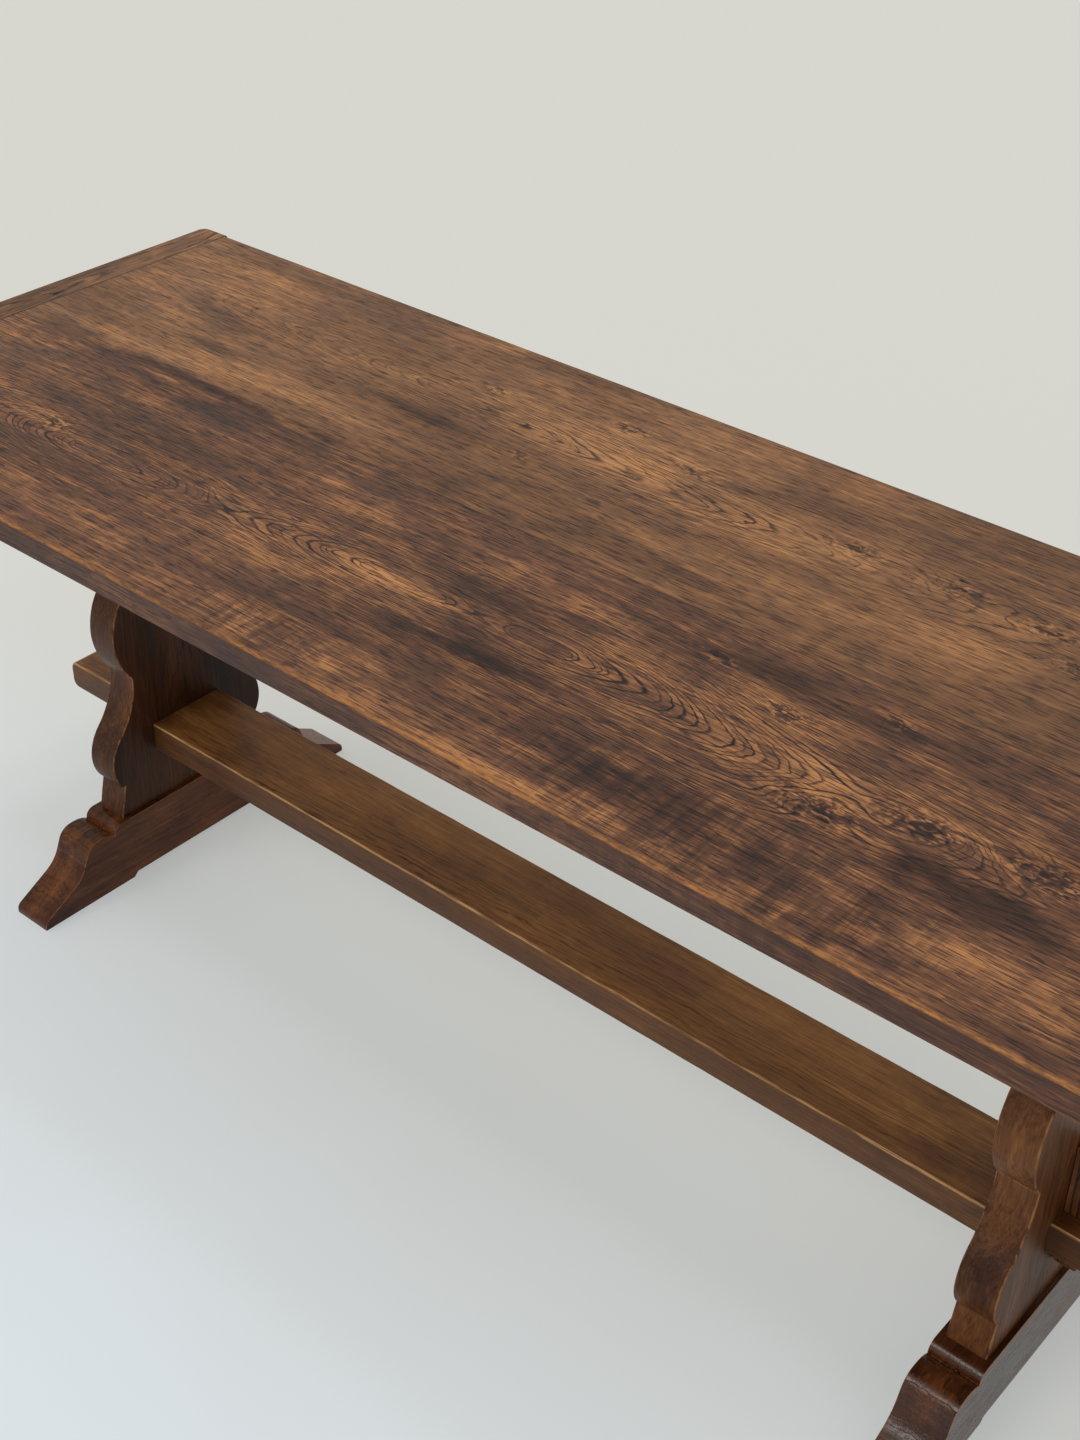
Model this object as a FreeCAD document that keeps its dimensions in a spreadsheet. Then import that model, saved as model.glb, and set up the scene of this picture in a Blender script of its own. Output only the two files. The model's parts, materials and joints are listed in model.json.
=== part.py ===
import FreeCAD, Part
import math
import os
import re
import Sketcher

# Refectory table in elm: a two-board top with end cleats on two scrolled plank trestles, each on
# a sled foot and under a bearer, tied by a flat stretcher whose tenons are locked with tusks.
# Millimetres. X runs along the table, Y across it, Z up. The origin is on the floor under the
# middle of the top.

SIZES = {
    # The whole table
    "table_height": 760,
    "top_thickness": 31,
    "trestle_spacing": 1410,
    "end_overhang": 290,
    # Top boards, their edge joint and the end cleats
    "board_width": 369,
    "board_arris": 3,
    "edge_tongue_width": 24,
    "edge_tongue_thickness": 8,
    "edge_tongue_stop": 90,
    "end_tongue_thickness": 10,
    "end_tongue_depth": 25,
    "end_tongue_setback": 30,
    "cleat_width": 50,
    "cleat_overhang": 3.5,
    "cleat_corner_radius": 13,
    "groove_clearance": 0.5,
    # Trestle plank and the scroll of its edges, from either end to the middle
    "trestle_thickness": 50,
    "neck_half_width": 134,
    "neck_height": 51,
    "neck_taper": 12,
    "ledge_width": 5,
    "lobe_swell": 11,
    "lobe_rise": 34,
    "lobe_share": 0.36,
    "waist_depth": 51,
    "knop_swell": 24,
    "knop_half_height": 66,
    # Twin tenons of the trestle in its foot and bearer
    "twin_tenon_width": 60,
    "twin_tenon_thickness": 18,
    "twin_tenon_offset": 68,
    "bearer_tenon_cover": 13,
    "foot_wedge_length": 60,
    "foot_wedge_head": 6,
    "foot_wedge_tip": 2,
    "peg_diameter": 10,
    # Sled foot
    "foot_height": 105,
    "foot_reveal": 7,
    "pad_length": 160,
    "pad_relief": 7,
    "hump_flat": 8,
    "hump_radius": 14,
    "crown_rise": 7,
    "crown_run": 22,
    "crown_flat": 22,
    "crown_radius": 24,
    "cove_run": 20,
    "cove_height": 51,
    "cove_radius": 55,
    "toe_run": 71.5,
    "toe_height": 12,
    "toe_radius": 12,
    # Bearer and the screws that hold the top
    "bearer_depth": 58,
    "bearer_taper_length": 60,
    "bearer_taper_height": 30,
    "screw_inset": 77,
    "screw_pitch": 70,
    "screw_end_margin": 35,
    "screw_length": 50,
    "screw_bite": 18,
    "screw_diameter": 4.5,
    "screw_hole_clearance": 0.3,
    "screw_head_diameter": 9,
    "screw_head_height": 3.2,
    "screw_slot_width": 1.2,
    "screw_slot_depth": 1.6,
    "counterbore_diameter": 14,
    # Stretcher and its tusks
    "stretcher_top": 232,
    "stretcher_width": 122,
    "stretcher_thickness": 43,
    "tenon_shoulder": 26,
    "tenon_projection": 168,
    "tenon_end_radius": 12,
    "tusk_thickness": 18,
    "tusk_tip_width": 28,
    "tusk_taper": 22,
    "tusk_rise": 100,
    "tusk_drop": 35,
    "tusk_head_radius": 7,
    "tusk_tip_radius": 4,
    "tusk_clearance": 0.25,
    "tusk_mortise_setback": 8,
    "mortise_clearance": 0.3,
}

LAYOUT = {
    "top_underside": "table_height - top_thickness",
    "shoulder_length": "trestle_spacing + 2 * end_overhang - 2 * cleat_width",
    "cleat_half_length": "board_width + cleat_overhang",
    "end_tongue_reach": "board_width - end_tongue_setback",
    "edge_tongue_length": "shoulder_length - 2 * edge_tongue_stop",
    "bearer_underside": "top_underside - bearer_depth",
    "foot_thickness": "trestle_thickness + 2 * foot_reveal",
    "trestle_offset": "trestle_spacing / 2",
    "trestle_face": "trestle_offset + trestle_thickness / 2",
    "trestle_height": "bearer_underside - foot_height",
    "foot_tenon_length": "foot_height - pad_relief",
    "bearer_tenon_length": "bearer_depth - bearer_tenon_cover",
    "screw_inner": "twin_tenon_offset + twin_tenon_width / 2 + screw_inset",
    "screw_outer": "screw_inner + screw_pitch",
    "bearer_half_length": "screw_outer + screw_end_margin",
    "screw_seat": "bearer_depth - screw_length + screw_bite",
    "stretcher_underside": "stretcher_top - stretcher_thickness",
    "mortise_floor": "stretcher_underside - foot_height",
    "shoulder_offset": "trestle_offset - trestle_thickness / 2",
    "tenon_end": "trestle_face + tenon_projection",
    "tenon_half_width": "stretcher_width / 2 - tenon_shoulder",
    "tusk_head_width": "tusk_tip_width + tusk_taper",
    "tusk_top": "stretcher_thickness + tusk_rise",
    # Scroll of the trestle: the ogee from lobe to waist is two arcs that meet at the bend
    "step_half_width": "neck_half_width - neck_taper",
    "ledge_half_width": "step_half_width + ledge_width",
    "lobe_half_width": "ledge_half_width + lobe_swell",
    "waist_half_width": "lobe_half_width - waist_depth",
    "lobe_height": "neck_height + lobe_rise",
    "waist_height": "trestle_height / 2 - knop_half_height",
    "ledge_radius": "(lobe_swell^2 + lobe_rise^2) / (2 * lobe_swell)",
    "ogee_height": "waist_height - lobe_height",
    "ogee_radius": "(waist_depth^2 + ogee_height^2) / (2 * waist_depth)",
    "lobe_radius": "ogee_radius * lobe_share",
    "waist_radius": "ogee_radius - lobe_radius",
    "bend_half_width": "lobe_half_width - waist_depth * lobe_share",
    "bend_height": "lobe_height + ogee_height * lobe_share",
    "knop_radius": "(knop_swell^2 + knop_half_height^2) / (2 * knop_swell)",
    # Outline of the foot, outwards from the trestle
    "hump_end": "neck_half_width + hump_flat + hump_radius",
    "groove_height": "foot_height - hump_radius",
    "groove_radius": "(crown_rise^2 + crown_run^2) / (2 * crown_rise)",
    "crown_start": "hump_end + crown_run",
    "crown_height": "groove_height + crown_rise",
    "crown_corner": "crown_start + crown_flat",
    "cove_corner": "crown_corner + cove_run",
    "toe_end": "cove_corner + toe_run",
    "relief_half_length": "toe_end - pad_length",
}

SHEET_OF = {name: "Sizes" for name in SIZES} | {name: "Layout" for name in LAYOUT}
SIDES = {"left": -1, "right": 1}
STRAIGHT = (None, 0)
OUTWARD = 1
INWARD = -1
UPRIGHT = FreeCAD.Rotation()
END_FOR_END = FreeCAD.Rotation(FreeCAD.Vector(0, 0, 1), 180)
# Turns X to Y, Y to Z and Z to X, so that a piece's own Z axis lies along the table
ON_SIDE = FreeCAD.Rotation(FreeCAD.Vector(1, 1, 1), 120)
TOUCH = 1e-4

doc = FreeCAD.newDocument("refectory_table")


def bound(formula):
    """Write each named size in a formula as the cell that holds it."""
    def cell(match):
        word = match.group()
        return f"{SHEET_OF[word]}.{word}" if word in SHEET_OF else word
    return re.sub(r"[a-z_]+", cell, formula)


def number(formula):
    """The present value of a formula."""
    return float(doc.Sizes.evalExpression(bound(formula)))


def fill_sheet(name, contents):
    sheet = doc.addObject("Spreadsheet::Sheet", name)
    for row, (alias, content) in enumerate(contents.items(), start=1):
        sheet.set(f"A{row}", alias)
        sheet.set(f"B{row}", content)
        sheet.setAlias(f"B{row}", alias)
    doc.recompute()


def bind(item, **formulas):
    for prop, formula in formulas.items():
        item.setExpression(prop, bound(formula))


def place(item, rotation=UPRIGHT, **formulas):
    """Turn an item and bind its position."""
    item.Placement = FreeCAD.Placement(FreeCAD.Vector(), rotation)
    for axis, formula in formulas.items():
        item.setExpression(f"Placement.Base.{axis}", bound(formula))


def half_turn(side):
    """Left-hand pieces are right-hand pieces turned end for end."""
    return UPRIGHT if side > 0 else END_FOR_END


def new_body(label):
    body = doc.addObject("PartDesign::Body", label)
    body.Label = label
    return body


def origin_plane(body, role):
    return next(item for item in body.Origin.OriginFeatures if item.Role == role)


def new_sketch(body, plane, lift="0"):
    """An empty sketch on one of the body's origin planes, lifted along the plane's normal."""
    sketch = body.newObject("Sketcher::SketchObject", "Outline")
    sketch.AttachmentSupport = [(origin_plane(body, plane), "")]
    sketch.MapMode = "FlatFace"
    sketch.setExpression("AttachmentOffset.Base.z", bound(lift))
    return sketch


def constrain(sketch, kind, *picks, formula):
    index = sketch.addConstraint(Sketcher.Constraint(kind, *picks, number(formula)))
    sketch.setExpression(f"Constraints[{index}]", bound(formula))


def pin_point(sketch, curve, end, point):
    """Fix an end of a curve at a point given as two formulas, measured from the origin."""
    for kind, formula in zip(("DistanceX", "DistanceY"), point):
        constrain(sketch, kind, -1, 1, curve, end, formula=formula)


def arc_between(start, end, radius, bulge):
    """Arc from start to end that swells to the right of the way, or to its left if bulge is negative."""
    chord = end - start
    sagitta = radius - math.sqrt(radius**2 - (chord.Length / 2) ** 2)
    right = FreeCAD.Vector(chord.y, -chord.x, 0).normalize()
    return Part.Arc(start, (start + end) / 2 + right * sagitta * bulge, end)


def draw_loop(sketch, points, stretches):
    """A closed outline, counter-clockwise. Each stretch to the next point is straight or an arc."""
    corners = [FreeCAD.Vector(number(x), number(y), 0) for x, y in points]
    first = sketch.GeometryCount
    for start, end, (radius, bulge) in zip(corners, corners[1:] + corners[:1], stretches):
        if radius:
            sketch.addGeometry(arc_between(start, end, number(radius), bulge))
        else:
            sketch.addGeometry(Part.LineSegment(start, end))
    # Arcs are kept counter-clockwise, so that the way along an inward one begins at its second end
    begins = [2 if bulge == INWARD else 1 for _, bulge in stretches]
    ends = [1 if bulge == INWARD else 2 for _, bulge in stretches]
    for index, point in enumerate(points):
        curve = first + index
        before = first + (index - 1) % len(points)
        joint = (before, ends[index - 1], curve, begins[index])
        sketch.addConstraint(Sketcher.Constraint("Coincident", *joint))
        pin_point(sketch, curve, begins[index], point)
        radius = stretches[index][0]
        if radius:
            constrain(sketch, "Radius", curve, formula=radius)


def draw_polygon(sketch, points):
    draw_loop(sketch, points, [STRAIGHT] * len(points))


def draw_rectangle(sketch, left, right, bottom, top):
    draw_polygon(sketch, [(left, bottom), (right, bottom), (right, top), (left, top)])


def draw_circle(sketch, point, diameter):
    centre = FreeCAD.Vector(number(point[0]), number(point[1]), 0)
    circle = sketch.addGeometry(Part.Circle(centre, FreeCAD.Vector(0, 0, 1), number(diameter) / 2))
    pin_point(sketch, circle, 3, point)
    constrain(sketch, "Diameter", circle, formula=diameter)


def with_mirror(points, stretches, mirror, join=STRAIGHT):
    """A path, a stretch that joins, and the path's mirror image run backwards."""
    image = [mirror(point) for point in reversed(points)]
    return points + image, stretches + [join] + stretches[::-1]


def across(point):
    return f"-({point[0]})", point[1]


def pad(body, sketch, length, symmetric=False, against_normal=False):
    feature = body.newObject("PartDesign::Pad", "Pad")
    feature.Profile = sketch
    feature.SideType = "Symmetric" if symmetric else "One side"
    feature.Reversed = against_normal
    bind(feature, Length=length)


def pocket(body, sketch, depth, symmetric=False, along_normal=False):
    """Cut a sketch into the body, and stop if the cut takes nothing away."""
    doc.recompute()
    before = body.Shape.Volume
    feature = body.newObject("PartDesign::Pocket", "Pocket")
    feature.Profile = sketch
    feature.SideType = "Symmetric" if symmetric else "One side"
    feature.Reversed = along_normal
    bind(feature, Length=depth)
    doc.recompute()
    if before - body.Shape.Volume < TOUCH:
        raise RuntimeError(f"a pocket of {body.Label} cuts nothing")


def round_edges(body, radius, axis, places):
    """Round the edges parallel to an axis, at places given by the other two coordinates."""
    doc.recompute()
    others = [name for name in "xyz" if name != axis]
    targets = [tuple(number(formula) for formula in place) for place in places]

    def lies_at(edge, target):
        spots = [[getattr(vertex.Point, name) for name in others] for vertex in edge.Vertexes]
        return all(math.dist(spot, target) < TOUCH for spot in spots)

    base = body.Tip
    edges = [
        f"Edge{index}"
        for index, edge in enumerate(base.Shape.Edges, start=1)
        if any(lies_at(edge, target) for target in targets)
    ]
    if len(edges) != len(targets):
        raise RuntimeError(f"{body.Label} has {len(edges)} edges to round at {places}")
    feature = body.newObject("PartDesign::Fillet", "Fillet")
    feature.Base = (base, edges)
    bind(feature, Radius=radius)


def both(places):
    """Places on one side of the middle and their mirror images."""
    return places + [across(place) for place in places]


def make_board(label, rotation):
    """Top board: stopped tongues for the cleats, a stopped groove in its inner edge, screw holes."""
    body = new_body(label)
    plank = new_sketch(body, "XY_Plane")
    draw_rectangle(plank, "-shoulder_length / 2", "shoulder_length / 2", "-board_width", "0")
    pad(body, plank, "top_thickness")
    tongues = new_sketch(body, "XY_Plane", lift="(top_thickness - end_tongue_thickness) / 2")
    tongue_tip = "shoulder_length / 2 + end_tongue_depth"
    draw_rectangle(tongues, f"-({tongue_tip})", tongue_tip, "-end_tongue_reach", "0")
    pad(body, tongues, "end_tongue_thickness")
    groove = new_sketch(body, "XZ_Plane")
    draw_rectangle(
        groove,
        "-edge_tongue_length / 2",
        "edge_tongue_length / 2",
        "(top_thickness - edge_tongue_thickness) / 2",
        "(top_thickness + edge_tongue_thickness) / 2",
    )
    pocket(body, groove, "edge_tongue_width / 2 + groove_clearance", along_normal=True)
    pilot_holes = new_sketch(body, "XY_Plane")
    for spot in both([("trestle_offset", "-screw_inner"), ("trestle_offset", "-screw_outer")]):
        draw_circle(pilot_holes, spot, "screw_diameter")
    pocket(body, pilot_holes, "screw_bite", along_normal=True)
    round_edges(body, "board_arris", "x", [("-board_width", "top_thickness")])
    place(body, rotation, z="top_underside")
    return body


def make_board_tongue():
    """Loose tongue glued into the grooves of both boards."""
    tongue = doc.addObject("Part::Box", "board_tongue")
    bind(tongue, Length="edge_tongue_length", Width="edge_tongue_width", Height="edge_tongue_thickness")
    place(
        tongue,
        x="-edge_tongue_length / 2",
        y="-edge_tongue_width / 2",
        z="top_underside + (top_thickness - edge_tongue_thickness) / 2",
    )
    return tongue


def make_cleat(label, side):
    """End cleat: grooved over the boards' tongues, its outer corners rounded in plan."""
    body = new_body(label)
    plan = new_sketch(body, "XY_Plane")
    draw_rectangle(plan, "0", "cleat_width", "-cleat_half_length", "cleat_half_length")
    pad(body, plan, "top_thickness")
    groove = new_sketch(body, "YZ_Plane")
    draw_rectangle(
        groove,
        "-end_tongue_reach - groove_clearance",
        "end_tongue_reach + groove_clearance",
        "(top_thickness - end_tongue_thickness) / 2",
        "(top_thickness + end_tongue_thickness) / 2",
    )
    pocket(body, groove, "end_tongue_depth + groove_clearance", along_normal=True)
    corners = [("cleat_width", "-cleat_half_length"), ("cleat_width", "cleat_half_length")]
    round_edges(body, "cleat_corner_radius", "z", corners)
    round_edges(body, "board_arris", "y", [("cleat_width", "top_thickness")])
    place(body, half_turn(side), x=f"{side} * shoulder_length / 2", z="top_underside")
    return body


def draw_twin_tenons(sketch):
    """Sections of the two tenons at an end of the trestle, in plan."""
    for middle in ("twin_tenon_offset", "-twin_tenon_offset"):
        draw_rectangle(
            sketch,
            "-twin_tenon_thickness / 2",
            "twin_tenon_thickness / 2",
            f"{middle} - twin_tenon_width / 2",
            f"{middle} + twin_tenon_width / 2",
        )


def draw_peg_holes(sketch, height):
    for spot in both([("twin_tenon_offset", height)]):
        draw_circle(sketch, spot, "peg_diameter")


def make_bearer(label, side):
    """Batten under the top, tapered at its ends, mortised for the trestle and bored for pegs and screws."""
    body = new_body(label)
    profile = new_sketch(body, "YZ_Plane")
    end = [
        ("bearer_half_length - bearer_taper_length", "0"),
        ("bearer_half_length", "bearer_taper_height"),
        ("bearer_half_length", "bearer_depth"),
    ]
    draw_polygon(profile, end + [across(point) for point in reversed(end)])
    pad(body, profile, "foot_thickness", symmetric=True)
    mortises = new_sketch(body, "XY_Plane")
    draw_twin_tenons(mortises)
    pocket(body, mortises, "bearer_tenon_length + groove_clearance", along_normal=True)
    peg_holes = new_sketch(body, "YZ_Plane")
    draw_peg_holes(peg_holes, "bearer_tenon_length / 2")
    pocket(body, peg_holes, "foot_thickness", symmetric=True)
    bores = {
        "bearer_depth": "screw_diameter + 2 * screw_hole_clearance",
        "screw_seat": "counterbore_diameter",
    }
    for depth, diameter in bores.items():
        holes = new_sketch(body, "XY_Plane")
        for name in ("screw_inner", "screw_outer"):
            draw_circle(holes, ("0", name), diameter)
            draw_circle(holes, ("0", f"-{name}"), diameter)
        pocket(body, holes, depth, along_normal=True)
    place(body, half_turn(side), x=f"{side} * trestle_offset", z="bearer_underside")
    return body


def trestle_outline():
    """Scroll of the plank: neck, ledge, lobe, ogee to the waist and half the knop, four times over."""
    points = [
        ("neck_half_width", "0"),
        ("step_half_width", "neck_height"),
        ("ledge_half_width", "neck_height"),
        ("lobe_half_width", "lobe_height"),
        ("bend_half_width", "bend_height"),
        ("waist_half_width", "waist_height"),
    ]
    stretches = [
        STRAIGHT,
        STRAIGHT,
        ("ledge_radius", OUTWARD),
        ("lobe_radius", OUTWARD),
        ("waist_radius", INWARD),
    ]

    def upside_down(point):
        return point[0], f"trestle_height - {point[1]}"

    side = with_mirror(points, stretches, upside_down, join=("knop_radius", OUTWARD))
    points, stretches = with_mirror(*side, across)
    return points, stretches + [STRAIGHT]


def make_trestle(label, side):
    """Scrolled plank with twin tenons at both ends and the through mortise of the stretcher."""
    body = new_body(label)
    scroll = new_sketch(body, "YZ_Plane")
    draw_loop(scroll, *trestle_outline())
    pad(body, scroll, "trestle_thickness", symmetric=True)
    foot_tenons = new_sketch(body, "XY_Plane")
    draw_twin_tenons(foot_tenons)
    pad(body, foot_tenons, "foot_tenon_length", against_normal=True)
    bearer_tenons = new_sketch(body, "XY_Plane", lift="trestle_height")
    draw_twin_tenons(bearer_tenons)
    pad(body, bearer_tenons, "bearer_tenon_length")
    mortise = new_sketch(body, "YZ_Plane")
    draw_rectangle(
        mortise,
        "-tenon_half_width - mortise_clearance",
        "tenon_half_width + mortise_clearance",
        "mortise_floor",
        "mortise_floor + stretcher_thickness + mortise_clearance",
    )
    pocket(body, mortise, "trestle_thickness", symmetric=True)
    kerfs = new_sketch(body, "YZ_Plane")
    for middle in ("twin_tenon_offset", "-twin_tenon_offset"):
        kerf = [
            (f"{middle} - foot_wedge_head / 2", "-foot_tenon_length"),
            (f"{middle} + foot_wedge_head / 2", "-foot_tenon_length"),
            (f"{middle} + foot_wedge_tip / 2", "foot_wedge_length - foot_tenon_length"),
            (f"{middle} - foot_wedge_tip / 2", "foot_wedge_length - foot_tenon_length"),
        ]
        draw_polygon(kerfs, kerf)
    pocket(body, kerfs, "twin_tenon_thickness", symmetric=True)
    peg_holes = new_sketch(body, "YZ_Plane")
    draw_peg_holes(peg_holes, "trestle_height + bearer_tenon_length / 2")
    pocket(body, peg_holes, "twin_tenon_thickness", symmetric=True)
    place(body, half_turn(side), x=f"{side} * trestle_offset", z="foot_height")
    return body


def foot_outline():
    """Relieved underside, toe, hollow, lobe, groove and hump, out and back over the middle."""
    points = [
        ("relief_half_length - pad_relief", "pad_relief"),
        ("relief_half_length", "0"),
        ("toe_end", "0"),
        ("toe_end", "toe_height"),
        ("cove_corner", "cove_height"),
        ("crown_corner", "crown_height"),
        ("crown_start", "crown_height"),
        ("hump_end", "groove_height"),
        ("hump_end - hump_radius", "foot_height"),
    ]
    stretches = [STRAIGHT] * 6 + [("groove_radius", OUTWARD), ("hump_radius", OUTWARD)]
    points, stretches = with_mirror(points, stretches, across)
    return points, stretches + [STRAIGHT]


def make_foot(label, side):
    """Sled foot, mortised right through for the trestle's tenons."""
    body = new_body(label)
    profile = new_sketch(body, "YZ_Plane")
    draw_loop(profile, *foot_outline())
    pad(body, profile, "foot_thickness", symmetric=True)
    mortises = new_sketch(body, "XY_Plane")
    draw_twin_tenons(mortises)
    pocket(body, mortises, "foot_height", along_normal=True)
    round_edges(body, "crown_radius", "x", both([("crown_corner", "crown_height")]))
    round_edges(body, "cove_radius", "x", both([("cove_corner", "cove_height")]))
    round_edges(body, "toe_radius", "x", both([("toe_end", "toe_height")]))
    place(body, half_turn(side), x=f"{side} * trestle_offset")
    return body


def make_stretcher():
    """Flat rail with shouldered through tenons, each mortised for its tusk and rounded at its end."""
    body = new_body("stretcher")
    plan = new_sketch(body, "XY_Plane")
    end = [
        ("shoulder_offset", "-stretcher_width / 2"),
        ("shoulder_offset", "-tenon_half_width"),
        ("tenon_end", "-tenon_half_width"),
        ("tenon_end", "tenon_half_width"),
        ("shoulder_offset", "tenon_half_width"),
        ("shoulder_offset", "stretcher_width / 2"),
    ]
    draw_polygon(plan, end + [across(point) for point in reversed(end)])
    pad(body, plan, "stretcher_thickness")
    tusk_mortises = new_sketch(body, "XZ_Plane")
    mortise = [
        ("trestle_face - tusk_mortise_setback", "-tusk_drop"),
        ("trestle_face + 2 * tusk_clearance + tusk_tip_width", "-tusk_drop"),
        ("trestle_face + 2 * tusk_clearance + tusk_head_width", "tusk_top"),
        ("trestle_face - tusk_mortise_setback", "tusk_top"),
    ]
    draw_polygon(tusk_mortises, mortise)
    draw_polygon(tusk_mortises, [across(point) for point in mortise])
    pocket(body, tusk_mortises, "tusk_thickness + 2 * tusk_clearance", symmetric=True)
    ends = both([("tenon_end", "0"), ("tenon_end", "stretcher_thickness")])
    round_edges(body, "tenon_end_radius", "y", ends)
    place(body, z="stretcher_underside")
    return body


def make_tusk(label, side):
    """Tapered key that draws the trestle against the stretcher's shoulder."""
    body = new_body(label)
    profile = new_sketch(body, "XZ_Plane")
    inner = "tusk_clearance"
    tip = ("tusk_clearance + tusk_tip_width", "-tusk_drop")
    head = ("tusk_clearance + tusk_head_width", "tusk_top")
    draw_polygon(profile, [(inner, "-tusk_drop"), tip, head, (inner, "tusk_top")])
    pad(body, profile, "tusk_thickness", symmetric=True)
    round_edges(body, "tusk_head_radius", "y", [(inner, "tusk_top"), head])
    round_edges(body, "tusk_tip_radius", "y", [(inner, "-tusk_drop"), tip])
    place(body, half_turn(side), x=f"{side} * trestle_face", z="stretcher_underside")
    return body


def make_screw():
    """Slotted flat-topped screw with a plain shank, its seat at the origin and its tip upwards."""
    body = new_body("bearer_screw")
    profile = new_sketch(body, "XZ_Plane")
    points = [
        ("0", "-screw_head_height"),
        ("screw_head_diameter / 2", "-screw_head_height"),
        ("screw_head_diameter / 2", "0"),
        ("screw_diameter / 2", "0"),
        ("screw_diameter / 2", "screw_length"),
        ("0", "screw_length"),
    ]
    draw_polygon(profile, points)
    turning = body.newObject("PartDesign::Revolution", "Revolution")
    turning.Profile = profile
    turning.ReferenceAxis = (profile, ["V_Axis"])
    slot = new_sketch(body, "XY_Plane", lift="-screw_head_height")
    draw_rectangle(
        slot,
        "-screw_head_diameter / 2",
        "screw_head_diameter / 2",
        "-screw_slot_width / 2",
        "screw_slot_width / 2",
    )
    pocket(body, slot, "screw_slot_depth", along_normal=True)
    return body


def make_peg():
    """Plain round peg as long as the bearer is thick."""
    peg = doc.addObject("Part::Cylinder", "bearer_peg")
    bind(peg, Radius="peg_diameter / 2", Height="foot_thickness")
    return peg


def make_foot_wedge():
    """Thin wedge, head first, that spreads the end of a tenon in the foot."""
    wedge = doc.addObject("Part::Wedge", "foot_wedge")
    bind(wedge, Xmin="-foot_wedge_head / 2", Xmax="foot_wedge_head / 2")
    bind(wedge, X2min="-foot_wedge_tip / 2", X2max="foot_wedge_tip / 2")
    bind(wedge, Ymin="0", Ymax="foot_wedge_length")
    bind(wedge, Zmin="-twin_tenon_thickness / 2", Zmax="twin_tenon_thickness / 2")
    bind(wedge, Z2min="-twin_tenon_thickness / 2", Z2max="twin_tenon_thickness / 2")
    return wedge


def make_set(label, pattern, rotation, x, z, offsets):
    """A set of equal small pieces, mirrored about the middle of the table's width."""
    copies = []
    for offset in offsets:
        for y in (offset, f"-{offset}"):
            copy = doc.addObject("App::Link", f"{label}_copy")
            copy.LinkedObject = pattern
            place(copy, rotation, x=x, y=y, z=z)
            copies.append(copy)
    group = doc.addObject("Part::Compound", label)
    group.Links = copies
    return group


def make_table():
    pieces = [
        make_board("front_board", UPRIGHT),
        make_board("back_board", END_FOR_END),
        make_board_tongue(),
        make_stretcher(),
    ]
    screw = make_screw()
    peg = make_peg()
    wedge = make_foot_wedge()
    for name, side in SIDES.items():
        middle = f"{side} * trestle_offset"
        peg_start = f"{middle} - foot_thickness / 2"
        peg_height = "bearer_underside + bearer_tenon_length / 2"
        tenons = ["twin_tenon_offset"]
        screws = ["screw_inner", "screw_outer"]
        pieces += [
            make_cleat(f"{name}_cleat", side),
            make_bearer(f"{name}_bearer", side),
            make_trestle(f"{name}_trestle", side),
            make_foot(f"{name}_foot", side),
            make_tusk(f"{name}_tusk", side),
            make_set(f"{name}_bearer_screws", screw, UPRIGHT, middle, "bearer_underside + screw_seat", screws),
            make_set(f"{name}_bearer_pegs", peg, ON_SIDE, peg_start, peg_height, tenons),
            make_set(f"{name}_foot_wedges", wedge, ON_SIDE, middle, "pad_relief", tenons),
        ]
    return pieces


def check(pieces):
    for item in doc.Objects:
        if {"Invalid", "Error"} & set(item.State):
            raise RuntimeError(f"{item.Label} failed: {item.State}")
    for piece in pieces:
        if piece.Shape.isNull() or not piece.Shape.isValid():
            raise RuntimeError(f"{piece.Label} has no valid shape")


fill_sheet("Sizes", {name: str(size) for name, size in SIZES.items()})
fill_sheet("Layout", {name: f"={bound(formula)}" for name, formula in LAYOUT.items()})
table = make_table()
doc.recompute()
check(table)
os.makedirs("parts", exist_ok=True)
for part in table:
    part.Shape.exportStep(os.path.join("parts", f"{part.Label}.step"))
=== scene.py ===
"""Looks of a dark waxed elm refectory table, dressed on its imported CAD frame.

The frame keeps the CAD axes, in metres: X runs along the table, Y across it to the back, and Z up.
Sizes that describe wood, wear and joints are in millimetres, and are named so.
"""

from __future__ import annotations

import json
import logging
import math
from dataclasses import dataclass
from enum import Enum
from functools import partial
from itertools import starmap
from typing import Any, Callable, Optional, Sequence, Union

import bmesh
import bpy
from mathutils import Matrix, Vector, noise

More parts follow.
